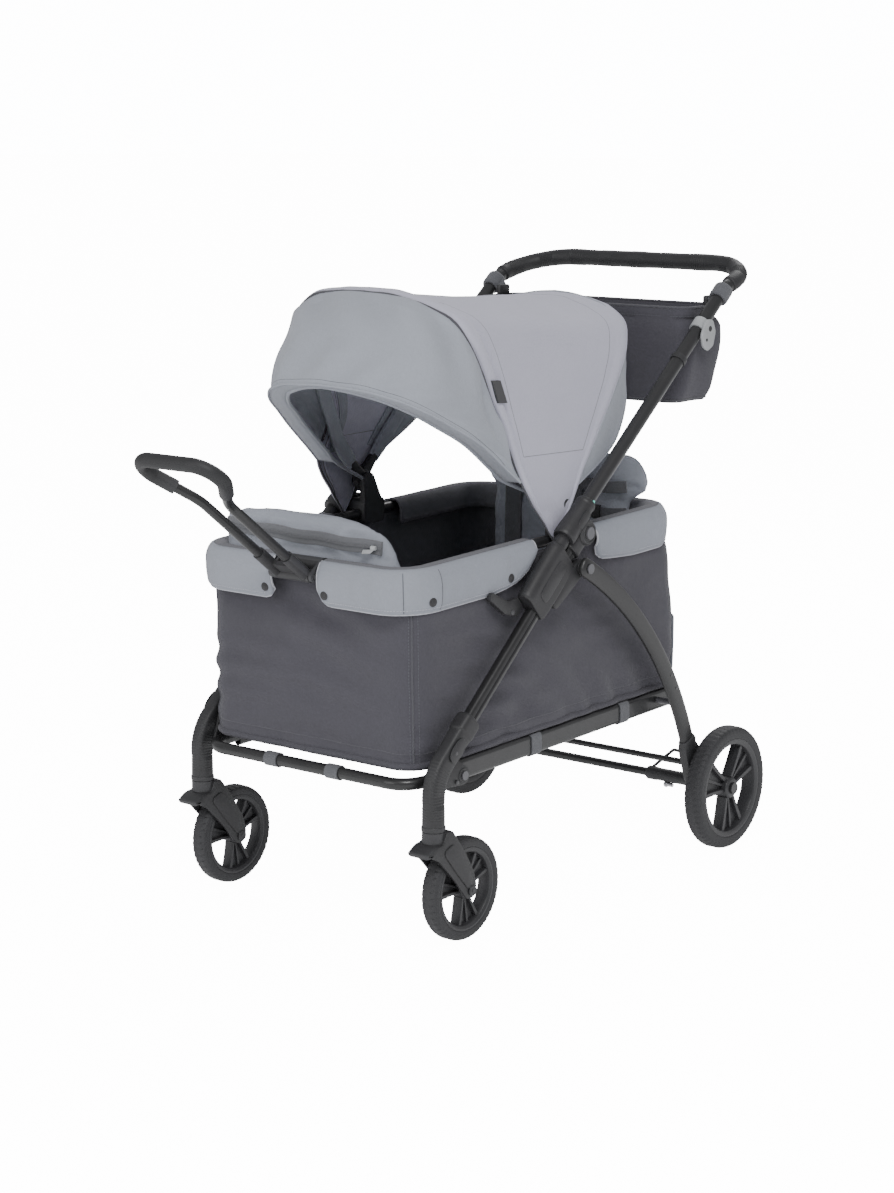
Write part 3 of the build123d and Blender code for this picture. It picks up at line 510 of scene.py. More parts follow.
def ripples(grid, scale, seed=0.0, stretch=(1.0, 1.0, 1.0)):
    """Smooth noise from -1 to 1 at every point of a grid."""
    flat = grid.reshape(-1, 3) * np.asarray(stretch) * scale + seed
    values = [noise.noise(Vector(p)) for p in flat]
    return np.array(values).reshape(grid.shape[:2])


def line_on(points, radius=0.0007, count=6):
    """Thin bead along points, for a seam or a hem."""
    return swept(points, circle(radius, count))


def stitches(points, length=0.0032, gap=0.0022, radius=0.0005):
    """Row of separate stitches along a line."""
    points = np.asarray(points)
    run = np.linalg.norm(np.diff(points, axis=0), axis=1).sum()
    count = max(2, int(run / (length + gap)))
    even = evenly(points, count * 5 + 1)
    return joined(*[swept(even[5 * k:5 * k + 4], circle(radius, 5)) for k in range(count)])


def disc(centre, normal, radius, height, count=28):
    """Low domed button standing on a point."""
    centre, normal = np.asarray(centre, float), np.asarray(normal, float)
    normal = normal / np.linalg.norm(normal)
    steps = [(1.0, 0.0), (1.0, 0.45), (0.93, 0.75), (0.75, 0.92), (0.45, 1.0), (0.05, 1.0)]
    path = np.array([centre + normal * height * h for _, h in steps])
    first = np.cross(normal, (0.31, 0.52, 0.79))
    first /= np.linalg.norm(first)
    second = np.cross(normal, first)
    ring = circle(radius, count)
    return rings_mesh([on_plane(p, ring * k, first, second) for p, (k, _) in zip(path, steps)])


def bar(x0, x1, yz, radius, count=28, chamfer=0.001):
    """Round bar along X with chamfered ends."""
    low, high = min(x0, x1), max(x0, x1)
    c = min(chamfer, radius * 0.3)
    profile = [(0.0001, low), (radius - c, low), (radius, low + c), (radius, high - c), (radius - c, high),
               (0.0001, high)]
    return turned((0, *yz), profile, count, closed=False)


def raised_oval(size, power, count, place, turn, x, sx, steps):
    """Low oval panel on a side face, turned in the face. The steps are (growth, height out from x)."""
    c, s = cos(turn), sin(turn)
    rings = []
    for grow, height in steps:
        flat = oval(size[0] + 2 * grow, size[1] + 2 * grow, count, power)
        rings.append(at_x(on_plane(np.array(place), flat, np.array((c, s)), np.array((-s, c))), x + sx * height))
    return rings_mesh(rings)


# ---- floor and light -------------------------------------------------------------------------------
FLOOR = 60          # half of its side


def glow(tree, lit, seen):
    """Strength that lights the model weakly and shows brightly to the camera."""
    ray = add_node(tree, "ShaderNodeLightPath").outputs["Is Camera Ray"]
    return add_node(tree, "ShaderNodeMapRange", Value=ray, To_Min=lit, To_Max=seen).outputs["Result"]


def build_stage():
    """Pale floor and soft studio light."""
    corners = [(-FLOOR, -FLOOR, 0), (FLOOR, -FLOOR, 0), (FLOOR, FLOOR, 0), (-FLOOR, FLOOR, 0)]
    floor = piece("floor", (corners, [(0, 1, 2, 3)]), "board", None)
    material, tree, shader = new_material("floor_white")
    shader.inputs["Base Color"].default_value = (0.86, 0.86, 0.865, 1)
    shader.inputs["Roughness"].default_value = 0.75
    shader.inputs["Emission Color"].default_value = (1, 1, 1, 1)
    tree.links.new(glow(tree, 0.45, 14.0), shader.inputs["Emission Strength"])
    floor.data.materials[0] = material
    world = bpy.data.worlds.new("world")
    bpy.context.scene.world = world
    world.use_nodes = True
    tree = world.node_tree
    sky = tree.nodes["Background"]
    sky.inputs["Color"].default_value = (0.97, 0.98, 1.0, 1)
    tree.links.new(glow(tree, 0.50, 15.0), sky.inputs["Strength"])
    for name, place, size, power in (("key", (2.2, -2.2, 3.6), 1.4, 92), ("fill", (-0.9, -3.8, 1.9), 2.4, 38),
                                     ("back", (-0.6, 3.2, 3.4), 2.0, 60)):
        lamp = bpy.data.lights.new(name, "AREA")
        lamp.energy = power
        lamp.size = size
        held = bpy.data.objects.new(name, lamp)
        bpy.context.scene.collection.objects.link(held)
        held.location = place
        held.rotation_euler = (Vector((0, 0, 0.5)) - Vector(place)).to_track_quat("-Z", "Y").to_euler()


build_stage()

for node_name, node in nodes.items():
    node.data.materials.clear()
    node.data.materials.append(materials[slot_of[node_name]])

# ---- canopy ------------------------------------------------------------------------------------------
HALF = 61           # points from a tip of an outline to its top
CANOPY_TIP = (0.2430, -0.035, -0.061)       # x, and its place from the pivot
REAR_BOW = [(0.2440, 0.030, 36), (0.2400, 0.074, 46), (0.2330, 0.160, 47.8), (0.2180, 0.289, 47.8),
            (0.2030, 0.349, 47.8), (0.1760, 0.400, 47.8), (0.1300, 0.432, 47.8), (0.1000, 0.443, 47.8),
            (0.0500, 0.455, 47.8), (0, 0.459, 47.8)]
FRONT_BOW = [(0.2380, 0.060, 137), (0.2150, 0.125, 137), (0.1995, 0.187, 133.5), (0.1955, 0.300, 126.5),
             (0.1880, 0.370, 125.3), (0.1720, 0.405, 125), (0.1420, 0.428, 125), (0.1010, 0.446, 125),
             (0.0500, 0.455, 125), (0, 0.457, 125)]
FRONT_EDGE = [(0.2370, 0.072, 192), (0.2360, 0.100, 169), (0.2290, 0.134, 153)] + FRONT_BOW[2:]
VISOR_EDGE = [(0.2320, 0.128, 157), (0.2260, 0.170, 153), (0.2180, 0.243, 149.5), (0.1980, 0.303, 149),
              (0.1800, 0.351, 149), (0.1500, 0.390, 149), (0.1220, 0.408, 149), (0.0850, 0.424, 149),
              (0, 0.433, 149)]
FLAP_EDGE = [(0.2400, 0.050, 38), (0.2400, 0.110, 32), (0.2330, 0.190, 31), (0.2180, 0.262, 34.5),
             (0.2000, 0.310, 39.5), (0.1760, 0.360, 43), (0.1100, 0.400, 44), (0, 0.410, 44)]


def outline(half, inset=0.0, tip=False):
    """Whole outline of a bow or an edge, from its left end over the top to its right end."""
    points = [fan(max(0.0, x - inset) if x else 0.0, r - inset, a) for x, r, a in half]
    if tip:
        x, dy, dz = CANOPY_TIP
        points = [(x, CANOPY_HUB[0] + dy, CANOPY_HUB[1] + dz)] + points
    left = through(points, HALF)
    return np.vstack([left, left[-2::-1] * (-1, 1, 1)])


def stretched(a, b, rows):
    """Grid of points between two outlines."""
    u = np.linspace(0, 1, rows)[:, None, None]
    return a[None] * (1 - u) + b[None] * u


def patch(grid, rows, columns, lift, thick):
    """Closed thin plate over part of a grid, lifted off it."""
    part = grid[rows[0]:rows[1] + 1, columns[0]:columns[1] + 1]
    low = along_normals(part, np.full(part.shape[:2], lift))
    high = along_normals(part, np.full(part.shape[:2], lift + thick))
    n, m = part.shape[:2]
    faces = grid_faces(n, m)
    rim = ([(0, j) for j in range(m)] + [(i, m - 1) for i in range(1, n)]
           + [(n - 1, j) for j in range(m - 2, -1, -1)] + [(i, 0) for i in range(n - 2, 0, -1)])
    count = n * m
    closed = [tuple(i + count for i in f[::-1]) for f in faces] + faces
    for (i1, j1), (i2, j2) in zip(rim, rim[1:] + rim[:1]):
        p, q = i1 * m + j1, i2 * m + j2
        closed.append((p, q, q + count, p + count))
    return np.vstack([low.reshape(-1, 3), high.reshape(-1, 3)]), closed


def grid_mesh(grid):
    """Vertices and faces of an open sheet."""
    n, m = grid.shape[:2]
    return grid.reshape(-1, 3), grid_faces(n, m)


def build_canopy():
    """Main cover between the bows, the visor in front of it and the flap behind it."""
    rows = 64
    rear, front = outline(REAR_BOW, tip=True), outline(FRONT_EDGE, tip=True)
    grid = stretched(rear, front, rows)
    u = np.linspace(0, 1, rows)[:, None]
    v = np.abs(np.linspace(-1, 1, 2 * HALF - 1))[None]        # 1 at a tip, 0 at the top
    tips = np.clip((1 - v) / 0.12, 0, 1)                      # fades out towards the tips
    top = np.clip(1.25 - 2.0 * v, 0, 1)
    sag = -0.010 * np.sin(pi * u) * top + 0.004 * np.sin(pi * u) * (1 - top) * (1 - v)
    folds = 0.0034 * ripples(grid, 9, 3.0, (1, 0.35, 1)) + 0.0014 * ripples(grid, 26, 8.0, (1, 0.5, 1))
    folds += 0.0040 * top * np.sin(v * 26 + 1.5 * ripples(grid, 5, 9.0)) * np.sin(pi * u)
    pulls = 0.0016 * np.sin(14 * v * pi + 5 * u) * bell(v, 0.93, 0.07)
    channel = 0.0085 * np.sqrt(np.clip(1 - ((u - 0.960) / 0.038) ** 2, 0, 1)) * tips
    channel -= 0.0030 * bell(u, 0.905, 0.012) * tips
    hem = 0.003 * np.sqrt(np.clip(1 - ((u - 0.03) / 0.03) ** 2, 0, 1)) * tips
    fade = np.clip((1 - v) / 0.06, 0, 1)
    grid = along_normals(grid, -(sag + (folds + pulls) * fade + channel + hem))
    main = piece("canopy_cover", grid_mesh(grid), "canopy_fabric", None, solid=0.0014)
    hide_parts("canopy_fabric")
    low, high = int(0.11 * rows), int(0.85 * rows)
    first = 17
    last = grid.shape[1] - 1 - first
    seams = [line_on(grid[row, first:last + 1], 0.0010) for row in (low, high)]
    seams += [line_on(grid[low:high + 1, column], 0.0010) for column in (first, last)]
    edge = int(0.915 * rows)
    seams.append(line_on(grid[edge, 4:-4], 0.0010))
    pieces = [
        main,
        piece("canopy_seams", joined(*seams), thread_mid, None),
        # painted shadow: the piping bead at the visor join is coloured dark to stand in for the shade line there
        piece("canopy_front_shadow_piping", line_on(grid[-1], 0.0021, 10), dark_piping_and_shadow, None),
        piece("canopy_rear_piping", line_on(grid[0], 0.0018, 10), "canopy_fabric", None),
    ]
    sleeves = []
    for i0, i1 in ((int(0.74 * rows), int(0.84 * rows)), (int(0.12 * rows), int(0.20 * rows))):
        sleeves += [patch(grid, (i0, i1), (14, HALF - 8), 0.0015, 0.0018),
                    patch(grid, (i0, i1), (HALF + 6, grid.shape[1] - 15), 0.0015, 0.0018)]
    pieces.append(piece("canopy_inner_sleeves", joined(*sleeves), "visor_fabric", None))
    spot, down, over = grid[-2, 29], grid[-3, 32] - grid[-3, 26], grid[-8, 29] - grid[-1, 29]
    down, over = unit(down), unit(over)
    raised = np.cross(down, over) * (1 if np.cross(down, over)[0] > 0 else -1)
    corners = [spot + over * a + down * b for a, b in ((0, -0.022), (0.022, -0.022), (0.022, 0.022), (0, 0.022))]
    tag = rings_mesh([np.array(corners) + raised * lift for lift in (-0.004, 0.0060)])
    pieces.append(piece("canopy_blank_tag", tag, "moulded_black", None))
    for made in pieces:
        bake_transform(made)

    front = outline([(0.2330, 0.118, 159)] + FRONT_EDGE[2:])
    edge_line = outline(VISOR_EDGE)
    rows = 44
    grid = stretched(front, edge_line, rows)
    u = np.linspace(0, 1, rows)[:, None]
    puff = 0.011 * np.sin(pi * u ** 0.8) * np.clip(1.15 - 1.2 * v, 0, 1) + 0.006 * np.sin(pi * u) * (1 - v)
    across = np.linspace(-1, 1, 2 * HALF - 1)[None]
    creases = (0.0075 * np.sin(2.4 * pi * (across * 3.1 + 0.9 * u)) * bell(u, 0.15, 0.30)
               + 0.0046 * np.sin(2.1 * pi * (across * 4.3 - 1.1 * u) + 1.0) * bell(u, 0.85, 0.25))
    folds = 0.0080 * ripples(grid, 7, 21.0, (1, 1, 0.5)) + 0.0024 * ripples(grid, 20, 5.0)
    calm = tips * np.clip(np.sin(pi * u) * 3, 0, 1)
    grid = along_normals(grid, -(puff + (creases + folds) * calm))
    visor = piece("visor_cover", grid_mesh(grid), "visor_fabric", None, solid=0.0014)
    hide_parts("visor_fabric")
    hem = piece("visor_edge_piping", line_on(grid[-1], 0.0026, 10), "visor_fabric", None)
    hem_seam = piece("visor_edge_seam", line_on(grid[-3], 0.0009), thread_dark, None)
    inner_edge = outline([(x - min(0.034, x), r, a) for x, r, a in VISOR_EDGE], inset=0.0065)
    inner_hem = piece("visor_inner_hem", grid_mesh(stretched(grid[-1], inner_edge, 4)), "visor_fabric", None,
                      solid=0.0014)
    for made in (visor, hem, hem_seam, inner_hem):
        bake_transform(made)

    grid = stretched(outline(REAR_BOW[1:]), outline(FLAP_EDGE), 14)
    grid = along_normals(grid, 0.004 * ripples(grid, 10, 40.0, (1, 1, 0.3)))
    flap = piece("canopy_flap", grid_mesh(grid), "visor_fabric", "top_rail", solid=0.0014,
                 replaces=("canopy_rear_flap",))
    piece("canopy_flap_piping", line_on(grid[-1], 0.0018, 8), "visor_fabric", "top_rail")
    return main, visor, flap


def build_bows():
    """Wire bows inside fabric sleeves, with the black arms and discs at the pivots."""
    arms = {"top_rail": [], "canopy_front": []}
    for name, half, body, x_in, narrow in (("canopy_rear_bow", REAR_BOW, "top_rail", 0.2395, 0.0),
                                           ("canopy_front_bow", FRONT_BOW, "canopy_front", 0.2310, 0.0),
                                           ("visor_wire", VISOR_EDGE, "visor", 0.2235, 0.034)):
        start = (x_in, 0.012, half[1][2])
        line = outline([start] + [(x - min(narrow, x), r, a) for x, r, a in half if r > 0.12], inset=0.0065)
        wire = piece(name + "_tube", swept(line, circle(0.0035, 12)),
                     "visor_fabric" if name == "visor_wire" else "moulded_black", body)
        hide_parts(name)
        if name == "visor_wire":
            continue
        inner = outline([start] + [(x, r, a) for x, r, a in half if r > 0.12], inset=0.0075)
        size = np.interp(np.linspace(0, 1, len(inner) - 10), (0, 0.03, 0.5, 0.97, 1), (0.8, 1, 1, 1, 0.8))
        turn = radians(half[-1][2])
        sleeve = swept(inner[5:-5], oval(0.0330, 0.0110, 24, 2.6), size, side=(0, -sin(turn), cos(turn)))
        piece(name + "_sleeve", sleeve, "visor_fabric", body)
        for _, sx in SIDES:
            arm = evenly(line[:8] if sx > 0 else line[:-9:-1], 12)
            ends = np.array([1.5, 1.5, 1.45, 1.4, 1.3, 1.25, 1.2, 1.15, 1.1, 1.05, 1.0, 0.8])
            arms[body].append(swept(arm, oval(0.0105, 0.0170, 28), ends, side=X_AXIS))
    for body, meshes in arms.items():
        piece(f"canopy_arms_{body}", joined(*meshes), "moulded_black", body)
    for side, sx in SIDES:
        place = (0, *CANOPY_HUB)
        profile = [(0.0001, 0.2190), (0.0170, 0.2190), (0.0205, 0.2215), (0.0210, 0.2300), (0.0185, 0.2335),
                   (0.0001, 0.2335)]
        profile = [(r, sx * x) for r, x in profile]
        piece(f"canopy_hub_{side}", turned(place, profile, 48, closed=False), "moulded_black", "top_rail")


build_bows()
canopy_parts = build_canopy()


# ---- basket --------------------------------------------------------------------------------------------
def ring(place, half_x, y0, y1, corner, count):
    """Closed rounded rectangle on a plane, from the middle of the front, towards +X first."""
    points = [(0, y0), (half_x, y0), (half_x, y1), (-half_x, y1), (-half_x, y0), (0, y0)]
    line = rounded([place(x, y) for x, y in points], corner, 0.004)
    return evenly(line, count + 1)[:-1]


def build_basket():
    """Soft walls that lean out from the base frame to the top rail, their lining and their seams."""
    count, rows = 460, 46
    low = ring(lambda x, y: on_base(x, y, 0.0200), 0.2350, -0.098, 0.682, 0.050, count)
    high = ring(lambda x, y: on_rail(x, y, -0.012), 0.2360, -0.4175, 0.3265, 0.050, count)
    grid = stretched(low, high, rows)
    outward = grid - grid.mean(axis=(0, 1))
    outward[..., 2] = 0
    outward = unit(outward)
    u = np.linspace(0, 1, rows)[:, None]
    rearward = np.clip(outward[..., 1], 0, 1) ** 2
    belly = (0.0050 + 0.0130 * rearward) * np.sin(pi * u) ** 0.7
    soft = 0.0060 * ripples(grid, 5.5, 2.0, (1, 1, 0.8)) + 0.0038 * ripples(grid, 13, 7.0, (1, 1, 1.3))
    slant = grid @ np.array((0.2, 0.55, 0.80))
    across = grid @ np.array((0.2, 0.80, -0.55))
    shape = np.clip(0.15 + ripples(grid, 5.0, 15.0), 0, 1)
    drag = 0.0085 * shape * np.sin(2 * pi * slant / 0.060 + 3 * np.sin(across * 9))
    drag += 0.0050 * np.clip(ripples(grid, 6.0, 51.0), 0, 1) * np.sin(2 * pi * grid[..., 2] / 0.045 + 4 * across)
    level = 0.0016 * ripples(grid, 30, 33.0, (0.4, 0.4, 1.6)) * bell(u, 0.93, 0.10)
    gather = 0.0016 * ripples(grid, 46, 11.0, (1, 1, 0.2)) * bell(u, 0, 0.10)
    edge = np.clip(u / 0.04, 0, 1) * np.clip((1 - u) / 0.04, 0, 1)
    heights = belly + (soft + drag) * edge + level + gather
    shell = grid + outward * heights[..., None]
    faces = grid_faces(rows, count, wrap=True)
    outer = piece("basket_cover", (shell.reshape(-1, 3), faces), "basket_fabric", "base", solid=0.0016,
                  replaces=("basket_shell",))
    inner = grid + outward * (np.minimum(heights, 0.004) - 0.0060)[..., None]
    floor = tuple(range(count))
    lining = piece("basket_lining", (inner.reshape(-1, 3), faces + [floor]), "lining_fabric", "base")
    parts = [outer, lining]
    corner = [int(np.argmin(np.linalg.norm(low[:, :2] - np.array((sx * 0.2204, y)), axis=1)))
              for sx, y in ((1, -0.3232), (1, 0.4270), (-1, 0.4270), (-1, -0.3232))]
    seams = [line_on(shell[:, j] + outward[:, j] * 0.0008, 0.0017, 8) for j in corner]
    parts.append(piece("basket_corner_piping", joined(*seams), dark_piping_and_shadow, "base"))
    rows_of_thread = [stitches(shell[1:-1, j + k] + outward[1:-1, j + k] * 0.0009) for j in corner for k in (-1, 2)]
    parts.append(piece("basket_corner_stitching", joined(*rows_of_thread), thread_dark, "base"))
    hem = swept(looped(shell[1]), oval(0.010, 0.012, 12, 2.0), caps=False)
    parts.append(piece("basket_bottom_hem", hem, "basket_fabric", "base"))
    parts.append(piece("basket_bottom_piping", line_on(looped(shell[4]), 0.0013), dark_piping_and_shadow, "base"))
    return parts


basket_parts = build_basket()


def build_wall_loop():
    """Light grey carrying loop sewn to the rear wall, near its left corner."""
    path = rounded([(0.206, 0.4400, 0.452), (0.206, 0.4540, 0.444), (0.206, 0.4540, 0.392), (0.206, 0.4520, 0.342),
                    (0.206, 0.4400, 0.334)], [0.008, 0.030, 0.008], 0.004)
    return piece("wall_loop", swept(path, oval(0.026, 0.0022, 20, 6), side=X_AXIS), "rim_fabric", "base")


basket_parts.append(build_wall_loop())


# ---- seat backs and floor pad ------------------------------------------------------------------------------
def cushion(width_at, z_low, z_high_at, y_at, thickness, columns=70, rows=52):
    """Closed pad that stands up across the basket. Its front and rear faces meet round its edge."""
    s = np.sin(np.linspace(-pi / 2, pi / 2, columns))
    t = (1 - np.cos(np.linspace(0, pi, rows))) / 2
    front, rear = np.zeros((rows, columns, 3)), np.zeros((rows, columns, 3))
    for i, tt in enumerate(t):
        for j, ss in enumerate(s):
            x = ss * width_at(tt)
            z = z_low + (z_high_at(x) - z_low) * tt
            full = (max(0.0, 1 - abs(ss) ** 7) * max(0.0, 1 - abs(2 * tt - 1) ** 8)) ** 0.42
            half = thickness / 2 * full
            y = y_at(x, z)
            front[i, j] = (x, y - half, z)
            rear[i, j] = (x, y + half, z)
    return front, rear


def two_faced(front, rear):
    """Vertices and faces of two grids that share their edges."""
    n, m = front.shape[:2]
    faces = grid_faces(n, m)
    back = [tuple(i + n * m for i in f[::-1]) for f in faces]
    return np.vstack([front.reshape(-1, 3), rear.reshape(-1, 3)]), faces + back


def inflate(made, voxel, pressure, cap, frames=20):
    """Remeshes a pad and swells it like stuffed cloth, moving no point further than cap."""
    bpy.context.view_layer.objects.active = made
    for other in bpy.context.selected_objects:
        other.select_set(False)
    made.select_set(True)
    remesh = made.modifiers.new("remesh", "REMESH")
    remesh.mode = "VOXEL"
    remesh.voxel_size = voxel
    remesh.use_smooth_shade = True
    bpy.ops.object.modifier_apply(modifier="remesh")
    before = np.array([v.co for v in made.data.vertices])
    cloth = made.modifiers.new("cloth", "CLOTH")
    cloth.settings.use_pressure = True
    cloth.settings.uniform_pressure_force = pressure
    cloth.settings.effector_weights.gravity = 0
    scene = bpy.context.scene
    for step in range(1, frames + 1):
        scene.frame_set(step)
    settled = made.evaluated_get(bpy.context.evaluated_depsgraph_get())
    after = np.array([v.co for v in settled.data.vertices])
    made.modifiers.remove(cloth)
    scene.frame_set(1)
    move = after - before
    far = np.linalg.norm(move, axis=1)
    move *= np.minimum(1, cap / np.maximum(far, 1e-9))[:, None]
    made.data.vertices.foreach_set("co", (before + move).ravel())
    made.data.update()


def stuffed(made):
    inflate(made, voxel=0.005, pressure=4.0, cap=0.006)
    smooth = made.modifiers.new("smooth", "SUBSURF")
    smooth.levels = smooth.render_levels = 1


def build_front_seat():
    """Padded back behind the pull handle, with a zipper across it."""
    def top(x):
        return np.interp(x, (-0.208, -0.150, -0.085, 0.051, 0.110, 0.150, 0.176, 0.200),
                         (0.690, 0.712, 0.717, 0.716, 0.708, 0.694, 0.660, 0.604))

    def place(x, z):
        return -0.300 - 0.010 * (z - 0.34) / 0.36

    front, rear = cushion(lambda t: 0.190 + 0.006 * t, 0.336, top, place, 0.034)
    for face, sign in ((front, -1), (rear, 1)):
        x, z = face[..., 0], face[..., 2]
        quilt = -0.0045 * bell(z, 0.691, 0.005) - 0.0045 * bell(z, 0.651, 0.005)
        quilt -= 0.0030 * bell(z, 0.520, 0.006)
        creases = 0.0050 * ripples(face, 16, 4.0, (1, 1, 0.4)) + 0.0030 * ripples(face, 34, 9.0, (1, 1, 0.5))
        edge = np.clip((0.19 - np.abs(x)) / 0.02, 0, 1)
        face[..., 1] += sign * (quilt + creases) * edge
        face[..., 0] *= np.where(x < 0, 1.09, 1)
    made = piece("front_seat_pad", two_faced(front, rear), "rim_fabric", "base", replaces=("front_seat_back",))
    stuffed(made)
    xs = np.linspace(-0.192, 0.158, 60)
    level = 0.677 - 0.008 * (xs + 0.19) / 0.36 + 0.0012 * np.sin(xs * 60)
    zipper = np.array([(x, place(x, z) - 0.0215 + 0.0035 * max(0.0, abs(x) / 0.17 - 0.75) * 4, z)
                       for x, z in zip(xs, level)])
    tape = piece("front_seat_zipper_tape", swept(zipper, oval(0.0060, 0.0240, 16, 6), side=(0, 1, 0)),
                 zipper_grey, "base")
    zipper = zipper + (0, -0.0022, 0)
    corners = np.array([(sx, sy, sz) for sx in (-1, 1) for sy in (-1, 1) for sz in (-1, 1)])
    faces = [(0, 1, 3, 2), (4, 6, 7, 5), (0, 4, 5, 1), (2, 3, 7, 6), (0, 2, 6, 4), (1, 5, 7, 3)]
    teeth = []
    for k, p in enumerate(evenly(zipper, 130)):
        size = np.array((0.0009, 0.0012, 0.0021 if k % 2 else 0.0017))
        teeth.append((corners * size + p + (0, -0.0018, 0), faces))
    coil = piece("front_seat_zipper_teeth", joined(*teeth), zipper_grey, "base")
    end = zipper[-3] + (0, -0.0042, 0)
    slider, faces = bar(-0.0050, 0.0050, (0, 0), 0.0040, 16)
    tab = rounded([end + (0.001, -0.001, 0), end + (-0.004, -0.004, -0.006), end + (-0.020, -0.004, -0.008)],
                  [0.003], 0.002)
    puller = piece("front_seat_zipper_puller", joined((slider + end, faces), swept(tab, oval(0.0026, 0.0080, 14, 4))),
                   "clip_grey", "base")
    return [made, tape, coil, puller]


def build_rear_seat():
    """Padded back at the rear, with its harness."""
    def top(x):
        return 0.757 - 0.060 * np.clip((np.abs(x) - 0.150) / 0.075, 0, 1) ** 2.2

    def place(x, z):
        return 0.354 + 0.032 * np.clip((z - 0.640) / 0.110, 0, 1)

    def width(t):
        return 0.183 + 0.032 * np.clip((t - 0.80) / 0.14, 0, 1)

    front, rear = cushion(width, 0.345, top, place, 0.034)
    for face, sign in ((front, -1), (rear, 1)):
        z = face[..., 2]
        quilt = sum(-0.0035 * bell(z, level, 0.006) for level in (0.470, 0.600, 0.700))
        face[..., 1] += sign * (quilt + 0.0020 * ripples(face, 18, 12.0, (1, 1, 0.5)))
        face[..., 0] *= np.where(face[..., 0] < 0, 0.74, 1)
    made = piece("rear_seat_pad", two_faced(front, rear), "rim_fabric", "base", replaces=("rear_seat_back",))
    stuffed(made)
    bands = []
    for sx in (1, -1):
        shoulder = rounded([(sx * 0.070, 0.3560, 0.752), (sx * 0.070, 0.3330, 0.700), (sx * 0.070, 0.3290, 0.560),
                            (sx * 0.045, 0.3270, 0.480), (sx * 0.016, 0.3230, 0.482)], [0.012, 0.05, 0.05], 0.006)
        bands.append(swept(shoulder, oval(0.0380, 0.0040, 18, 6), side=X_AXIS))
        lap = rounded([(0.175 if sx > 0 else -0.126, 0.3330, 0.430), (sx * 0.090, 0.3230, 0.440),
                       (sx * 0.018, 0.3210, 0.478)], [0.06], 0.006)
        bands.append(swept(lap, oval(0.0240, 0.0026, 18, 6), side=(0, 0, 1)))
        for z in (0.700, 0.650) if sx > 0 else ():
            side_band = rounded([(0.090, 0.3290, z), (0.150, 0.3270, z - 0.004), (0.190, 0.3330, z)], [0.12], 0.006)
            bands.append(swept(side_band, oval(0.0220, 0.0024, 18, 6), side=(0, 0, 1)))
    straps = piece("seat_harness", joined(*bands), "webbing", "base", replaces=("harness_straps",))
    clasp = [(0.024, 0.476), (0.024, 0.498), (0.014, 0.508), (-0.014, 0.508), (-0.024, 0.498), (-0.024, 0.476),
             (-0.016, 0.466), (0.016, 0.466)]
    low = np.array([(x, 0.3160, z) for x, z in clasp])
    high = low + (0, 0.012, 0)
    buckle = piece("seat_harness_buckle", rings_mesh([low, high]), "moulded_black", "base", bevel=0.003)
    keepers = []
    for z in (0.700, 0.650):
        path = np.array([(0.118 + k * 0.006, 0.3262, z - 0.001) for k in range(4)])
        keepers.append(swept(path, oval(0.026, 0.0052, 18, 6), side=(0, 0, 1)))
    holders = piece("seat_harness_adjusters", joined(*keepers), "moulded_black", "base", bevel=0.0008)
    return [made, straps, buckle, holders]


def build_floor_pad():
    """Flat quilted mattress over the floor board."""
    rows, columns = 90, 60
    t = np.sin(np.linspace(-pi / 2, pi / 2, rows))
    s = np.sin(np.linspace(-pi / 2, pi / 2, columns))
    top, under = np.zeros((rows, columns, 3)), np.zeros((rows, columns, 3))
    for i, tt in enumerate(t):
        for j, ss in enumerate(s):
            x, y = ss * 0.226, 0.292 + tt * 0.372
            full = (max(0.0, 1 - abs(ss) ** 10) * max(0.0, 1 - abs(tt) ** 14)) ** 0.4
            channel = sum(bell(y, c, 0.006) for c in (0.05, 0.17, 0.292, 0.414, 0.534))
            top[i, j] = on_base(x, y, 0.0262 + 0.0145 * full - 0.004 * channel * full)
            under[i, j] = on_base(x, y, 0.0262 - 0.0001 * full)
    return piece("floor_mattress", two_faced(under, top), "lining_fabric", "base", replaces=("floor_pad",))


front_seat_parts = build_front_seat()
rear_seat_parts = build_rear_seat()
for soft in (front_seat_parts[0], rear_seat_parts[0], build_floor_pad()):
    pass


# ---- rim covers on the top rail ------------------------------------------------------------------------------
RIM_TOP = 0.0135


OUTER_RIM = [(0.0105, RIM_TOP - 0.0022), (0.0150, 0.0098), (0.0185, 0.0050), (0.0210, -0.0010), (0.0232, -0.16),
             (0.0240, -0.40), (0.0236, -0.65), (0.0220, -0.86), (0.0180, -1.00)]     # below -0.1, parts of the depth
INNER_RIM = [(0.0110, RIM_TOP - 0.0028), (0.004, RIM_TOP - 0.0008), (-0.004, RIM_TOP - 0.001),
             (-0.012, 0.0110), (-0.0185, 0.0030), (-0.0210, -0.0080), (-0.0205, -0.0320)]


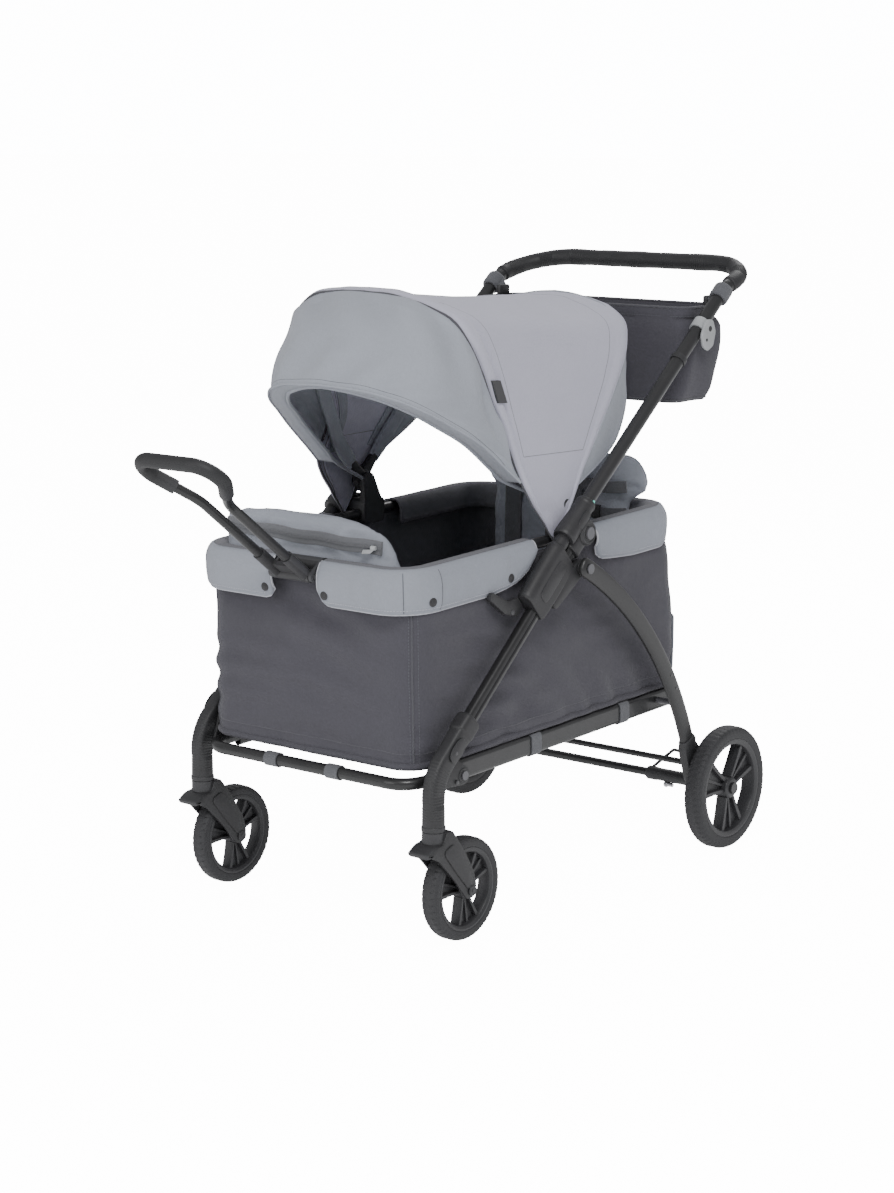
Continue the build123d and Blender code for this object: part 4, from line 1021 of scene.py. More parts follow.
def rim_skirt(path, depth_at, name, body, nodes_replaced):
    """Padded cover over the rail: light outside, charcoal lining inside."""
    tangent = unit(np.gradient(path, axis=0))
    up = on_rail(0, 0, 1) - on_rail(0, 0, 0)
    out = np.cross(tangent, up)
    run = run_along(path)
    outer, inner = [], []
    for p, o, s in zip(path, out, run):
        d = depth_at(s, run[-1])
        for profile, rows, samples in (([(a, h * d if h < -0.1 else h) for a, h in OUTER_RIM], outer, 30),
                                       ([(a, max(h, -d)) for a, h in INNER_RIM], inner, 10)):
            line = through([(a, h, 0) for a, h in profile], samples)[:, :2]
            rows.append(on_plane(p, line, o, up))
    outer, inner = np.array(outer), np.array(inner)
    middle = np.sin(pi * np.linspace(0, 1, outer.shape[1]))[None]
    creases = 0.0024 * ripples(outer, 22, 17.0, (1, 1, 0.5)) + 0.0016 * ripples(outer, 55, 6.0, (1, 1, 0.3))
    facing = 1 if np.cross(np.gradient(outer, axis=0), np.gradient(outer, axis=1))[5, 8] @ out[5] > 0 else -1
    outer = along_normals(outer, facing * (0.0015 * middle + creases * middle))
    piece(name, grid_mesh(outer), "rim_fabric", body, solid=0.0030, replaces=nodes_replaced)
    piece(name + "_lining", grid_mesh(inner), "lining_fabric", body, solid=0.0022)
    hem_line = np.vstack([outer[0, ::3], outer[1:-1:2, -1], outer[-1, ::-3]])
    piece(name + "_hem", line_on(hem_line, 0.0020, 8), thread_light, body)
    thread = stitches(outer[3:-3, -4] + out[3:-3] * 0.0019)
    piece(name + "_stitching", thread, thread_light, body)
    return outer, out, run


def depth_left(s, total):
    """Skirt depth from the rounded end at the joint housing round to the front gap."""
    rear_end = np.interp(s, (0, 0.004, 0.012, 0.026, 0.045, 0.075, 0.125),
                         (0.004, 0.016, 0.028, 0.041, 0.050, 0.0565, 0.062))
    front_end = np.interp(total - s, (0, 0.004, 0.010, 0.020), (0.046, 0.054, 0.059, 0.062))
    return min(rear_end, front_end)


def depth_rear(s, total):
    """Skirt depth of the rear cover, less at both ends."""
    return np.interp(min(s, total - s), (0, 0.006, 0.02, 0.05, 0.12), (0.030, 0.044, 0.052, 0.056, 0.062))


def snap(at, normal, radius):
    """Snap fastener: a ring and its stud."""
    return disc(at, normal, radius, 0.0022), disc(at + normal * 0.0018, normal, radius * 0.55, 0.0014)


def build_rims():
    """The two side covers with their snaps and corner seams, and the rear cover."""
    snaps = []
    for side, sx in SIDES:
        points = [on_rail(sx * x, y) for x, y in ((RAIL_X, -0.108), (RAIL_X, RAIL_FRONT), (0.052, RAIL_FRONT))]
        path = rounded(points, 0.055, 0.005)
        if sx > 0:
            path = path[::-1]
        depth_at = (lambda s, total: depth_left(total - s, total)) if sx > 0 else depth_left
        outer, out, run = rim_skirt(path, depth_at, f"rim_padding_{side}", "top_rail", (f"rim_cover_{side}",))
        from_front = run if sx > 0 else run[-1] - run
        for place in (0.014, 0.195, 0.395):
            i = int(np.argmin(np.abs(from_front - place)))
            snaps += snap(outer[i, 22] + out[i] * 0.0012, out[i], 0.0078)
        corner = [int(np.argmin(np.abs(from_front - place))) for place in (0.158, 0.206)]
        lines = [line_on(outer[i, 3:-1] + out[i] * 0.0013, 0.0009) for i in corner]
        piece(f"rim_corner_seams_{side}", joined(*lines), thread_dark, "top_rail")
    points = [on_rail(sx * RAIL_X, y) for sx, y in ((1, 0.070), (1, RAIL_REAR), (-1, RAIL_REAR), (-1, 0.070))]
    path = rounded(points, 0.055, 0.005)
    rim_skirt(path, depth_rear, "rim_padding_rear", "top_rail", ("rim_cover_rear",))
    piece("rim_snaps", joined(*snaps), "moulded_black", "top_rail")


build_rims()


# ---- wheels --------------------------------------------------------------------------------------------
def tyre_mesh(centre, radius, width, lugs):
    """Solid tyre: rounded shoulders, a tread line each side and slanted shoulder grooves."""
    band = radius * 0.80
    half = width / 2
    profile = [(band, -half * 0.86), (band + 0.002, -half * 0.96), (radius * 0.885, -half),
               (radius * 0.925, -half * 0.985), (radius * 0.955, -half * 0.93), (radius * 0.978, -half * 0.80),
               (radius * 0.992, -half * 0.58), (radius, -half * 0.30)]
    left = through([(r, x, 0) for r, x in profile], 30)[:, :2]
    profile = np.vstack([left, left[::-1] * (1, -1)])
    count = 288
    across = profile[:, 1] / half
    tread = (profile[:, 0] > radius * 0.915) & (np.abs(across) > 0.30)
    rings = []
    for angle in np.linspace(0, 2 * pi, count, endpoint=False):
        phase = (angle * lugs / (2 * pi) + across * 0.32 + 0.5 * (across > 0)) % 1.0
        groove = np.clip(1 - np.abs(phase - 0.5) / 0.14, 0, 1) ** 0.5 * tread
        line = bell(np.abs(across), 0.26, 0.05) * (profile[:, 0] > band + 0.004)
        r = profile[:, 0] - 0.0016 * groove - 0.0010 * line
        rings.append(np.stack([profile[:, 1], r * cos(angle), r * sin(angle)], 1))
    return rings_mesh(np.array(rings + rings[:1]) + centre, caps=False)


def spoke_rib(r0, r1, a0, a1, w0, w1, turn):
    """Rib in the wheel's plane from r0 to r1, its middle leaning from a0 to a1."""
    t = np.linspace(0, 1, 10)
    r = r0 + (r1 - r0) * t
    a = a0 + (a1 - a0) * t ** 1.2
    w = w0 + (w1 - w0) * t
    flat = np.vstack([np.stack([r, a + w / 2], 1), np.stack([r, a - w / 2], 1)[::-1]])
    c, s = cos(turn), sin(turn)
    return np.stack([flat[:, 0] * c - flat[:, 1] * s, flat[:, 0] * s + flat[:, 1] * c], 1)


def rim_mesh(centre, radius, width, hub, turn0):
    """Band with two lips, a hub with its cap, and three spokes of two ribs and a thin web."""
    outer, inner, half = radius * 0.80 - 0.0002, radius * 0.715, width * 0.43
    band = [(outer, -half), (outer + 0.0010, -half - 0.0012), (outer - 0.0030, -half - 0.0016),
            (inner, -half + 0.001), (inner - 0.0022, -half * 0.55), (inner - 0.0022, half * 0.55),
            (inner, half - 0.001),
            (outer - 0.0030, half + 0.0016), (outer + 0.0010, half + 0.0012), (outer, half)]
    parts = [turned(centre, band, 120)]
    reach = half + 0.001
    hub_profile = [(hub * 0.40, -reach), (hub * 0.92, -reach), (hub, -reach + 0.002), (hub, reach - 0.002),
                   (hub * 0.92, reach), (hub * 0.80, reach + 0.0012), (hub * 0.40, reach + 0.0012)]
    parts.append(turned(centre, hub_profile, 64))
    for k in range(3):
        turn = turn0 + k * 2 * pi / 3
        for side in (1, -1):
            yz = spoke_rib(hub * 0.80, inner + 0.0015, side * radius * 0.085, side * radius * 0.300, radius * 0.055,
                           radius * 0.085, turn)
            mid = yz.mean(axis=0)
            drawn = mid + (yz - mid) * 0.955
            parts.append(rings_mesh([at_x(flat, half * x) + centre for x, flat in
                                     ((-0.72, drawn), (-0.62, yz), (0.62, yz), (0.72, drawn))]))
        for inner_width, outer_width, deep in ((0.17, 0.60, 0.18), (0.035, 0.060, 0.5)):      # a web and a fin
            yz = spoke_rib(hub * 0.80, inner + 0.001, 0.0, 0.0, radius * inner_width, radius * outer_width, turn)
            parts.append(rings_mesh([at_x(yz, x) + centre for x in (-half * deep, half * deep)]))
    return joined(*parts)


def build_wheels():
    """Tyres and rims, two small in front and two large behind."""
    for side, sx in SIDES:
        for end, x, axle, radius, width, hub, lugs, turn in (
                ("front", MAIN_X, FRONT_AXLE, 0.0897, 0.0318, 0.0160, 46, radians(40)),
                ("rear", 0.314, REAR_AXLE, 0.1175, 0.0360, 0.0200, 58, radians(39))):
            centre = np.array((sx * x, *axle))
            body = f"{end}_wheel_{side}"
            piece(f"{end}_tyre_{side}_tread", tyre_mesh(centre, radius, width, lugs), "tyre_black", body, sharp=32,
                  replaces=(f"{end}_tyre_{side}",))
            piece(f"{end}_rim_{side}_spokes", rim_mesh(centre, radius, width, hub, turn), "rim_plastic", body,
                  bevel=0.0008, replaces=(f"{end}_rim_{side}",))


build_wheels()


# ---- casters ---------------------------------------------------------------------------------------------
def slab_mesh(outline_yz, x0, x1, edge=0.003):
    """Plate with softened edges; the outline is (y, z) and may be hollow."""
    line = np.asarray(outline_yz, float)
    forward, back = np.roll(line, -1, 0) - line, line - np.roll(line, 1, 0)
    tangent = unit(forward) + unit(back)
    tangent /= np.maximum(np.linalg.norm(tangent, axis=1), 1e-9)[:, None]
    area = 0.5 * np.sum(line[:, 0] * np.roll(line[:, 1], -1) - np.roll(line[:, 0], -1) * line[:, 1])
    inward = np.stack([-tangent[:, 1], tangent[:, 0]], 1) * (1 if area > 0 else -1)
    low, high = min(x0, x1), max(x0, x1)
    return rings_mesh([at_x(line + inward * edge * k, x) for x, k in (
        (low, 1.0), (low + edge * 0.3, 0.30), (low + edge, 0.0), (high - edge, 0.0), (high - edge * 0.3, 0.30),
        (high, 1.0))])


def smooth_outline(points, radii, step=0.0025):
    """Closed (y, z) outline with rounded corners."""
    p = [(0.0, *q) for q in points]
    first = tuple((np.array(p[0]) + np.array(p[-1])) / 2)
    return rounded([first] + p + [first], radii, step)[:-1, 1:]


FORK = (0.0188, 0.0246)     # where a fork arm's faces stand, out from the wheel's middle


def build_casters():
    """Forks with a hood and a ridge down each arm, and their axles with caps."""
    arm_outline = smooth_outline(
        [(-0.3280, 0.1860), (-0.3500, 0.1835), (-0.3600, 0.1690), (-0.3380, 0.1570), (-0.2980, 0.1150),
         (-0.2660, 0.0760), (-0.2420, 0.0760), (-0.2400, 0.1000), (-0.2480, 0.1240), (-0.2700, 0.1600),
         (-0.2890, 0.1860), (-0.3040, 0.2050), (-0.3190, 0.2050)],
        [0.010, 0.02, 0.006, 0.03, 0.02, 0.013, 0.013, 0.02, 0.03, 0.03, 0.015, 0.006, 0.006])
    crown = smooth_outline(
        [(-0.3280, 0.1870), (-0.3500, 0.1855), (-0.3690, 0.1735), (-0.3660, 0.1665), (-0.3380, 0.1660),
         (-0.3080, 0.1760), (-0.2780, 0.1800), (-0.2890, 0.1880), (-0.3040, 0.2055), (-0.3190, 0.2055)],
        [0.010, 0.03, 0.0025, 0.003, 0.03, 0.05, 0.004, 0.02, 0.006, 0.006])
    ridge = smooth_outline(
        [(-0.3320, 0.1720), (-0.3000, 0.1330), (-0.2640, 0.0930), (-0.2500, 0.1000), (-0.2600, 0.1250),
         (-0.2840, 0.1620), (-0.3060, 0.1830)], [0.008, 0.02, 0.01, 0.008, 0.02, 0.02, 0.008])
    throat = [(0.0001, 0.2060), (0.0180, 0.2060), (0.0196, 0.2045), (0.0197, 0.1860), (0.0001, 0.1840)]
    for side, sx in SIDES:
        x = sx * MAIN_X
        body = f"caster_{side}"
        fork = [slab_mesh(arm_outline, x + low, x + high, 0.0022) for low, high in (FORK, (-FORK[1], -FORK[0]))]
        fork.append(slab_mesh(crown, x - 0.0240, x + 0.0240, 0.0060))
        fork.append(turned((x, CASTER_Y, 0), throat, 56, axis="z", closed=False))
        fork += [slab_mesh(ridge, x + k * 0.98 * FORK[1], x + k * 1.10 * FORK[1], 0.0016) for k in (1, -1)]
        piece(f"caster_fork_{side}_moulding", joined(*fork), "moulded_black", body,
              replaces=(f"caster_fork_{side}",), sharp=30)
        axle = [bar(x + k * FORK[1], x + k * 0.0288, FRONT_AXLE, 0.0098, 36, 0.0016) for k in (1, -1)]
        axle.append(bar(x - FORK[1], x + FORK[1], FRONT_AXLE, 0.0054, 28))
        axle += [bar(x + k * 0.0288, x + k * 0.0294, FRONT_AXLE, 0.0040, 6, 0.0002) for k in (1, -1)]
        piece(f"caster_axle_{side}", joined(*axle), "moulded_black", body)


build_casters()


# ---- leg castings, tubes, sleeves and housings ------------------------------------------------------------
def build_castings():
    """Curved mouldings from the casters up to the lower tubes, and the grooved tubes."""
    bend_z = LOWER_FOOT[1] + (CASTER_Y - LOWER_FOOT[0]) * tan(LOWER_ANGLE)
    top_run, foot_run = (0, 0.002, 0.005, 0.030, 0.034, 0.060), (0, 0.040, 0.044, 0.060)
    for side, sx in SIDES:
        x = sx * MAIN_X
        spine = rounded([(x, *along(0.0065)), (x, CASTER_Y, bend_z), (x, CASTER_Y, 0.2060)], [0.080], 0.0015)
        run = run_along(spine)
        left = run[-1] - run
        wide = np.where(left < 0.06, np.interp(left, foot_run, (0.0390, 0.0380, 0.0340, 0.0290)),
                        np.interp(run, top_run, (0.0305, 0.0330, 0.0335, 0.0335, 0.0300, 0.0290)))
        deep = np.where(left < 0.06, np.interp(left, foot_run, (0.0390, 0.0380, 0.0390, 0.0385)),
                        np.interp(run, top_run, (0.0400, 0.0425, 0.0430, 0.0430, 0.0395, 0.0385)))
        ribs = (np.abs(run - 0.145) < 0.046) * 0.0007 * np.cos(run * 2 * pi / 0.0048)
        first, second = frames_along(spine, X_AXIS)
        rings = []
        for p, a, b, w, d, rib, s in zip(spine, first, second, wide, deep, ribs, left):
            power = 2.0 + 1.6 * np.clip((s - 0.042) / 0.02, 0, 1)
            rings.append(on_plane(p, oval(w + rib, d + rib, 44, power), a, b))
        body_mesh = rings_mesh(rings)
        lug = slab_mesh(wrapped([(-0.288, 0.318, 0.012), (-0.300, 0.282, 0.012), (*BASE_PIVOT, 0.017)]),
                        sx * 0.2460, sx * 0.2620, 0.0025)
        boss = bar(sx * 0.2610, sx * 0.2635, BASE_PIVOT, 0.0135, 40)
        panel = raised_oval((0.046, 0.026), 2.4, 40, along(-0.059, 0.002), LOWER_ANGLE, x, sx,
                            ((0.0, 0.0160), (0.0, 0.0178), (-0.0012, 0.0185)))
        foot_ring = turned((x, CASTER_Y, 0), [(0.0180, 0.2062), (0.0202, 0.2062), (0.0206, 0.2080), (0.0206, 0.2130),
                                              (0.0196, 0.2140), (0.0180, 0.2140)], 56, axis="z")
        piece(f"leg_casting_{side}_moulding", joined(body_mesh, lug, boss, panel, foot_ring), "moulded_black",
              "chassis", replaces=(f"leg_casting_{side}",), sharp=34)
        screws = [disc((x + sx * 0.0182, *along(-0.066, 0.004)), (sx, 0, 0), 0.0034, 0.0014),
                  disc((sx * 0.2632, -0.2600, 0.2740), (sx, 0, 0), 0.0040, 0.0020)]
        piece(f"leg_casting_{side}_screws", joined(*screws), dark_steel, "chassis")
        path = np.array([(x, *along(u)) for u in np.linspace(-0.060, 0.4055, 24)])
        section = oval(0.0200, 0.0280, 48, 3.0)
        dent = np.abs(section[:, 1]) < 0.0035
        section[dent & (section[:, 0] > 0.006) if sx > 0 else dent & (section[:, 0] < -0.006), 0] -= sx * 0.0026
        piece(f"lower_tube_{side}_profile", swept(path, section, side=X_AXIS), "frame_black", "chassis",
              replaces=(f"lower_tube_{side}",), sharp=25)


build_castings()


def build_sleeves():
    """Hub sleeves with a cap and a raised button, and the collars at the lower tubes' tops."""
    for side, sx in SIDES:
        x = sx * MAIN_X
        path = np.array([(x, *down_push_tube(t)) for t in np.linspace(0.5580, 0.6470, 60)])
        s = np.linspace(0, 1, 60)
        size = np.interp(s, (0, 0.02, 0.06, 0.10, 0.12, 0.35, 0.62, 0.80, 0.95, 1.0),
                         (0.0150, 0.0175, 0.0186, 0.0188, 0.0178, 0.0182, 0.0196, 0.0206, 0.0206, 0.0190))
        body_mesh = swept(path, circle(1.0, 56), size, side=X_AXIS)
        core = turned((0, *HUB), [(0.0001, x - 0.0185), (0.0190, x - 0.0185), (0.0222, x - 0.0150),
                                  (0.0226, x + 0.0150), (0.0195, x + 0.0185), (0.0001, x + 0.0185)], 60, closed=False)
        collar_path = np.array([(x, *along(u)) for u in np.linspace(0.3800, 0.4200, 24)])
        grow = np.interp(np.linspace(0, 1, 24), (0, 0.05, 0.12, 0.55, 1.0), (0.93, 1.0, 1.02, 1.0, 1.05))
        collar = swept(collar_path, oval(0.0280, 0.0350, 48, 3.0), grow, side=X_AXIS)
        piece(f"upper_sleeve_{side}_moulding", joined(body_mesh, core, collar), "moulded_black", "chassis",
              replaces=(f"upper_sleeve_{side}",), sharp=34)
        face = x + sx * 0.0185
        ring_groove = turned((0, *HUB), [(0.0150, face - sx * 0.001), (0.0160, face + sx * 0.0012),
                                         (0.0172, face - sx * 0.001)], 56)
        cover = disc((face - sx * 0.0004, *HUB), (sx, 0, 0), 0.0125, 0.0030, 44)
        piece(f"upper_sleeve_{side}_cap", joined(ring_groove, cover), "moulded_black", "chassis")
        button = raised_oval((0.040, 0.017), 3.2, 40, down_push_tube(0.600), UPPER_ANGLE, x, sx,
                             ((0.0, 0.0145), (0.0, 0.0197), (-0.0018, 0.0205)))
        piece(f"upper_sleeve_{side}_button", button, "moulded_black", "chassis", bevel=0.0006)


build_sleeves()


def build_housings():
    """Sliding joint housings, the arms that the rail rests on and their studs."""
    for side, sx in SIDES:
        x = sx * MAIN_X
        low, high = 0.2400, 0.3640
        us = np.r_[low, low + 0.0015, low + 0.005, np.linspace(low + 0.012, high - 0.012, 20), high - 0.005,
                   high - 0.0015, high]
        rings = []
        for u in us:
            end = min(u - low, high - u)
            draw = 0.0032 * (1 - min(1.0, end / 0.006)) ** 2
            near_low = np.clip((u - low) / 0.055, 0, 1)
            bulge = 0.0012 * sin(pi * (u - low) / (high - low))
            top_r = 0.0165 - draw
            shift = 0.034 + 0.002 * near_low
            base_half_w, base_half_h = 0.0158 - draw + bulge, 0.0200 - draw + bulge
            pts = [circle(top_r, 40) + (0, shift - 0.002)]
            for cx in (-1, 1):
                for cw in (-1, 1):
                    pts.append(circle(0.0075, 14) + (cx * (base_half_w - 0.0075), cw * (base_half_h - 0.0075)))
            section = hull(np.vstack(pts))
            section = np.roll(section, -int(np.argmax(section[:, 1])), 0)
            section = evenly(looped(section), 73)[:-1]
            rings.append(on_plane(np.array((x, *along(u))), section, X_AXIS,
                                  np.array((0, -sin(LOWER_ANGLE), cos(LOWER_ANGLE)))))
        shell = rings_mesh(rings)
        cap_path = np.array([(x, *along(u, 0.0315)) for u in np.linspace(0.358, 0.3905, 16)])
        cap_size = np.interp(np.linspace(0, 1, 16), (0, 0.6, 0.85, 0.95, 1), (0.0140, 0.0136, 0.0122, 0.0100, 0.0070))
        cap = swept(cap_path, circle(1.0, 44), cap_size, side=X_AXIS)
        flange = slab_mesh(wrapped([(*along(0.284, -0.024), 0.009), (*LEG_PIVOT, 0.0145),
                                    (*along(0.366, -0.024), 0.008), (*along(0.330, -0.016), 0.008)], 40),
                           sx * 0.2665, sx * 0.2824, 0.003)
        boss = bar(sx * 0.2815, sx * 0.2836, LEG_PIVOT, 0.0128, 44, 0.0008)
        rib = raised_oval((0.082, 0.0270), 5.0, 56, along(0.303, 0.0135), LOWER_ANGLE, x, sx,
                          ((0.0, 0.0130), (0.0, 0.0172), (-0.0016, 0.0180)))
        piece(f"joint_housing_{side}_moulding", joined(shell, cap, flange, boss, rib), "moulded_black", "slider",
              replaces=(f"joint_housing_{side}",), sharp=32)
    arm = smooth_outline([along(0.2390, 0.0196), along(0.2390, 0.0420), along(0.2170, 0.0570),
                          along(0.1975, 0.1040), along(0.1835, 0.1000), along(0.1950, 0.0480), along(0.2140, 0.0196)],
                         [0.006, 0.008, 0.018, 0.005, 0.005, 0.018, 0.006])
    arms = [slab_mesh(arm, sx * 0.2475, sx * 0.2585, 0.0024) for _, sx in SIDES]
    piece("rail_rest_arms_moulding", joined(*arms), "moulded_black", "slider", replaces=("rail_rest_arms",))
    studs = [disc((sx * 0.2582, *along(0.2100, 0.0360)), (sx, 0, 0), 0.0050, 0.0022) for _, sx in SIDES]
    piece("rail_rest_studs", joined(*studs), dark_steel, "slider")


build_housings()


# ---- pins, rear legs and brake ----------------------------------------------------------------------------
for node_name in ("pivot_bolts", "rear_leg_pins"):
    nodes[node_name].data.materials[0] = dark_steel
nodes["organiser_straps"].data.materials[0] = materials["webbing"]


def build_rear_legs():
    """Curved oval bars with the foot collars and their tabs."""
    middle, foot = np.array((0.290, 0.413)), np.array((0.430, 0.150))
    top = np.array(LEG_PIVOT)
    a, b = middle - top, foot - top
    d = 2 * (a[0] * b[1] - a[1] * b[0])
    centre = top + np.array((b[1] * (a @ a) - a[1] * (b @ b), a[0] * (b @ b) - b[0] * (a @ a))) / d
    angles = [np.arctan2(*(q - centre)[::-1]) for q in (top, foot)]
    radius = np.linalg.norm(top - centre)
    for side, sx in SIDES:
        line = []
        for t in np.linspace(angles[0] + 0.002, angles[1], 90):
            y, z = centre + radius * np.array((cos(t), sin(t)))
            line.append((sx * (0.2924 - tan(radians(1.2)) * (top[1] - z)), y, z))
        line = np.array(line)
        cap = unit(line[0] - line[1])
        head = [line[0] + cap * 0.0168 * k for k in (1.0, 0.92, 0.72, 0.42)]
        path = np.vstack([head, line])
        size = np.r_[0.30, 0.62, 0.86, 0.98, np.ones(len(line))]
        foot_size = np.interp(np.arange(len(path))[::-1], (0, 3, 4, 40), (0.98, 0.98, 1.0, 1.0))
        bar_mesh = swept(path, oval(0.0150, 0.0340, 48, 2.9), size * foot_size, side=X_AXIS)
        piece(f"rear_leg_{side}_bar", bar_mesh, "leg_black", "rear_legs", replaces=(f"rear_leg_{side}",), sharp=40)
        at = int(len(line) * 0.86)
        collar = swept(evenly(line[at:at + 5], 12), oval(0.0205, 0.0390, 44, 3.2),
                       np.array([0.93, 0.99] + [1.0] * 8 + [0.99, 0.95]), side=X_AXIS)
        tab_at = line[at + 1]
        rear = np.array((0, 1, 0))
        tab = swept(np.array([tab_at + rear * k for k in (0.012, 0.017, 0.0215, 0.0235)]), oval(0.012, 0.016, 24, 4),
                    np.array([1.0, 1.0, 0.95, 0.75]), side=X_AXIS)
        screws = []
        for k in (0.60, 0.66):
            p = line[int(len(line) * k)]
            screws.append(disc(p + (sx * 0.0072, 0.004, 0), (sx, 0, 0), 0.0028, 0.0012))
        piece(f"rear_leg_{side}_collar", joined(collar, tab), "moulded_black", "rear_legs")
        piece(f"rear_leg_{side}_screws", joined(*screws), dark_steel, "rear_legs")
        plate = slab_mesh(wrapped([(0.430, 0.152, 0.021), (*REAR_AXLE, 0.017), (0.462, 0.160, 0.013),
                                   (0.410, 0.206, 0.020)], 40), sx * 0.2740, sx * 0.2930, 0.0040)
        boss = bar(sx * 0.2905, sx * 0.2950, REAR_AXLE, 0.0150, 44, 0.0012)
        inner = bar(sx * 0.2700, sx * 0.2745, (0.462, 0.160), 0.0095, 36, 0.0010)
        piece(f"wheel_bracket_{side}_moulding", joined(plate, boss, inner), "moulded_black", "rear_legs",
              replaces=("wheel_brackets",) if sx > 0 else ())
    sleeve = [(0.0082, 0.1402), (0.0122, 0.1402), (0.0132, 0.1420), (0.0132, 0.1600), (0.0124, 0.1612),
              (0.0124, 0.2500), (0.0134, 0.2515), (0.0134, 0.2600), (0.0126, 0.2620), (0.0082, 0.2620)]
    plate = smooth_outline([(0.5000, 0.1225), (0.5300, 0.1250), (0.5570, 0.1190), (0.5570, 0.1110), (0.5300, 0.1140),
                            (0.5000, 0.1080)], [0.002, 0.02, 0.0035, 0.0035, 0.02, 0.002])
    pedal = slab_mesh(plate, 0.2080, 0.2600, 0.0022)
    treads = []
    for y in np.arange(0.530, 0.553, 0.0056):
        corners = [(y + dy, z - (y - 0.530) * 0.22) for dy, z in ((0, 0.1240), (0.0028, 0.1234), (0.0028, 0.1262),
                                                                  (0, 0.1268))]
        treads.append(slab_mesh(smooth_outline(corners, 0.0008, 0.001), 0.2130, 0.2550, 0.0006))
    piece("brake_pedal_moulding", joined(turned((0, *REAR_AXLE), sleeve, 56), pedal, *treads), "moulded_black",
          "brake", replaces=("brake_pedal",))
    pin = joined(bar(0.1860, 0.2000, (0.4890, 0.1015), 0.0042, 24),
                 disc((0.1862, 0.4890, 0.1015), (-1, 0, 0), 0.0062, 0.0060))
    piece("brake_adjuster", pin, "steel", "brake")


build_rear_legs()


# ---- push grip, organiser and what hangs on the push tubes --------------------------------------------------
def build_push_grip():
    """Foam grip with bands of fine ribs between plain bands."""
    start, end = (np.array(KNEE) + reach * np.array((cos(GRIP_SLOPE), sin(GRIP_SLOPE)))
                  for reach in (0.012, GRIP_REACH))
    line = rounded([(MAIN_X, *start), (MAIN_X, *end), (-MAIN_X, *end), (-MAIN_X, *start)], 0.105, 0.0011)
    run = run_along(line)
    band = (run // 0.036).astype(int) % 2
    into = np.minimum(run % 0.036, 0.036 - run % 0.036)
    ribs = 0.0006 * np.sin(run * 2 * pi / 0.0044) * np.clip(into / 0.003, 0, 1) * band
    end_round = np.interp(np.minimum(run, run[-1] - run), (0, 0.001, 0.003, 0.006), (-0.0035, -0.0015, -0.0003, 0))
    size = 0.0157 + ribs + end_round + 0.0003 * np.sin(run * 40)
    piece("push_grip_foam", swept(line, circle(1.0, 40), size, side=(0, 1, 0)), "grip_black", "chassis",
          replaces=("push_grip",), sharp=60)


build_push_grip()


def build_organiser():
    """Soft bag behind the push handle, with its bindings and a stitched band."""
    count, rows = 300, 34
    low = ring(lambda x, y: (x, y, 0.8500), 0.2330, 0.4220, 0.5340, 0.024, count)
    high = ring(lambda x, y: (x, y, 1.0240), 0.2410, 0.4390, 0.5650, 0.030, count)
    grid = stretched(low, high, rows)
    outward = grid - grid.mean(axis=1, keepdims=True)
    outward[..., 2] = 0
    outward = unit(outward)
    u = np.linspace(0, 1, rows)[:, None]
    folds = 0.0060 * ripples(grid, 12, 31.0, (1, 1, 0.6)) + 0.0030 * ripples(grid, 30, 3.0, (1, 1, 0.5))
    sideways = np.abs(outward[..., 0])
    belly = (0.006 + 0.012 * sideways) * np.sin(pi * u) ** 0.8
    crease = -0.0035 * bell(u, 0.885, 0.02) + 0.0022 * (u > 0.90)
    tuck = -0.0040 * bell(u, 0, 0.07)
    shell = grid + outward * ((folds + belly) * np.clip((0.9 - u) / 0.1, 0, 1) + crease + tuck)[..., None]
    faces = grid_faces(rows, count, wrap=True) + [tuple(range(count))[::-1]]
    piece("organiser_shell", (shell.reshape(-1, 3), faces), "basket_fabric", "chassis", solid=0.0022,
          replaces=("organiser_bag",))
    rim = line_on(looped(shell[-1]), 0.0026, 10)
    piece("organiser_top_binding", rim, dark_piping_and_shadow, "chassis")
    base = line_on(looped(shell[1]) + (0, 0, -0.001), 0.0022, 8)
    piece("organiser_bottom_binding", base, dark_piping_and_shadow, "chassis")
    band = looped(shell[int(rows * 0.90)] + outward[-1] * 0.0022)
    piece("organiser_band_stitching", stitches(band), thread_dark, "chassis")


build_organiser()


def push_point(x, t):
    """Point at t down a push tube."""
    return np.array((x, *down_push_tube(t)))


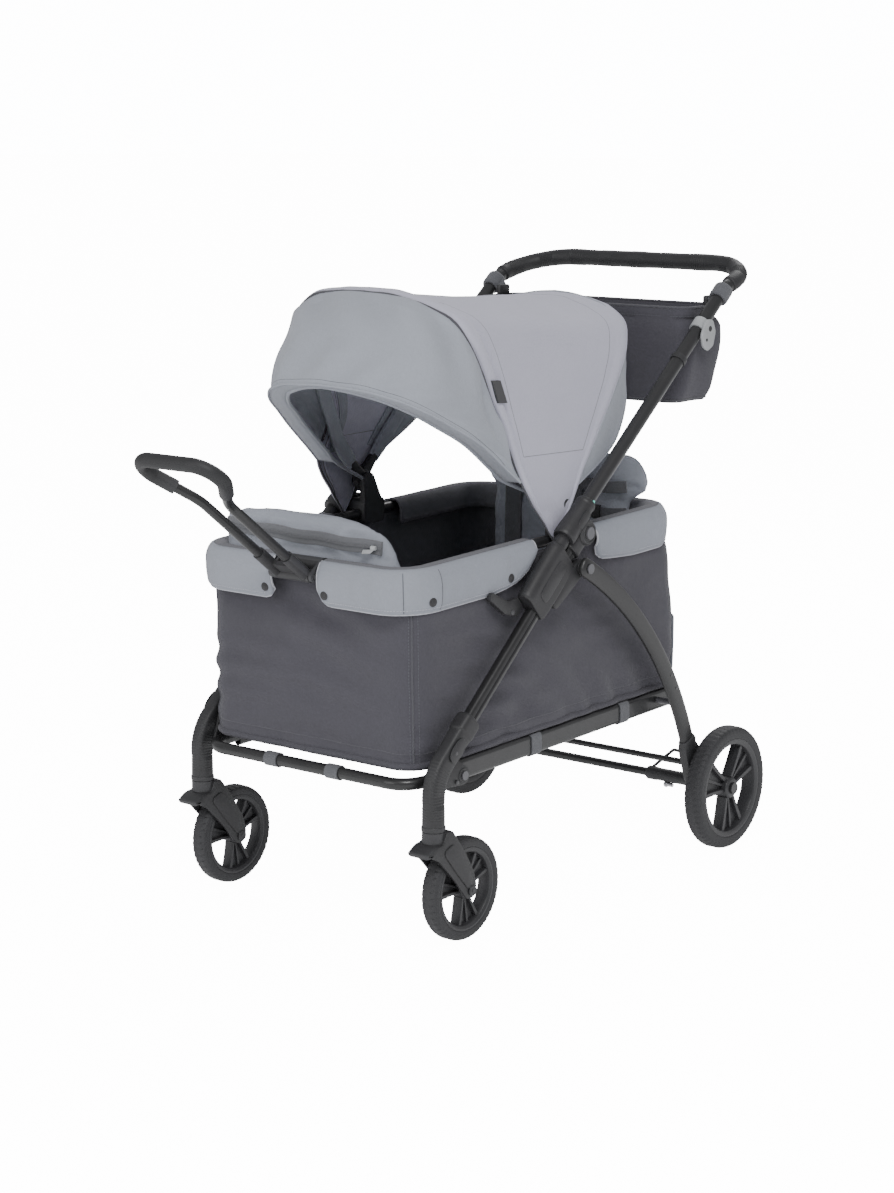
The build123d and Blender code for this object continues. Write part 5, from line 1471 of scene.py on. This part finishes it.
def build_push_straps():
    """Webbing rings and black buckles that carry the organiser, its low rings and small hooks."""
    buckle = smooth_outline([(0.5040, 1.0240), (0.5040, 1.0440), (0.5360, 1.0440), (0.5360, 1.0240)], 0.004)
    rings, plates, low_rings = [], [], []
    for _, sx in SIDES:
        x = sx * MAIN_X
        path = np.array([push_point(x, t) for t in np.linspace(0.0030, 0.0330, 14)])
        size = np.array([0.0165, 0.0178] + [0.0182] * 10 + [0.0178, 0.0165])
        rings.append(swept(path, circle(1.0, 48), size, side=X_AXIS))
        drop = rounded([push_point(sx * 0.2490, 0.0200) + (0, -0.004, 0), (sx * 0.2440, 0.520, 1.040),
                        (sx * 0.2400, 0.520, 1.018)], [0.010], 0.003)
        rings.append(swept(drop, oval(0.0036, 0.0260, 18, 6), side=X_AXIS))
        plates.append(slab_mesh(buckle, sx * 0.2370, sx * 0.2470, 0.0022))
        low = np.array([push_point(x, t) for t in np.linspace(0.1900, 0.2010, 8)])
        low_rings.append(swept(low, circle(0.0148, 44), side=X_AXIS))
        hook = rounded([(sx * 0.2520, 0.3930, 0.9290), (sx * 0.2530, 0.4080, 0.9330), (sx * 0.2530, 0.4160, 0.9230),
                        (sx * 0.2530, 0.4060, 0.9160), (sx * 0.2530, 0.3960, 0.9170)], [0.006, 0.007, 0.006], 0.0016)
        low_rings.append(swept(hook, circle(0.0026, 14)))
    piece("organiser_strap_rings", joined(*rings), "webbing", "chassis", replaces=("organiser_straps",))
    piece("organiser_strap_buckles", joined(*plates), "moulded_black", "chassis")
    piece("organiser_low_rings", joined(*low_rings), "moulded_black", "chassis")
    plate = smooth_outline([(0.4350, 0.9560), (0.4300, 0.9780), (0.4450, 1.0050), (0.4660, 1.0050), (0.4760, 0.9820),
                            (0.4680, 0.9560), (0.4500, 0.9470)], [0.008, 0.012, 0.010, 0.010, 0.010, 0.008, 0.008])
    clip = slab_mesh(plate, 0.2808, 0.2866, 0.0018)
    holder_path = np.array([push_point(MAIN_X, t) for t in np.linspace(0.0960, 0.1180, 10)])
    holder = swept(holder_path, circle(0.0160, 44), side=X_AXIS)
    piece("cup_holder_clip_plate", joined(clip, holder), "clip_grey", "chassis", replaces=("cup_holder_clip",))
    marks = [disc((0.2862, 0.4560, 0.9880), (1, 0, 0), 0.0052, 0.0014),
             disc((0.2862, 0.4450, 0.9680), (1, 0, 0), 0.0030, 0.0012)]
    piece("cup_holder_clip_marks", joined(*marks), "moulded_black", "chassis")


build_push_straps()


# ---- soft pieces of the basket and seats get meshes of their own --------------------------------------------
def settle_soft_pieces():
    """Gives the basket's and the seats' soft pieces meshes of their own."""
    for soft in basket_parts + front_seat_parts + rear_seat_parts:
        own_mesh(soft)


settle_soft_pieces()
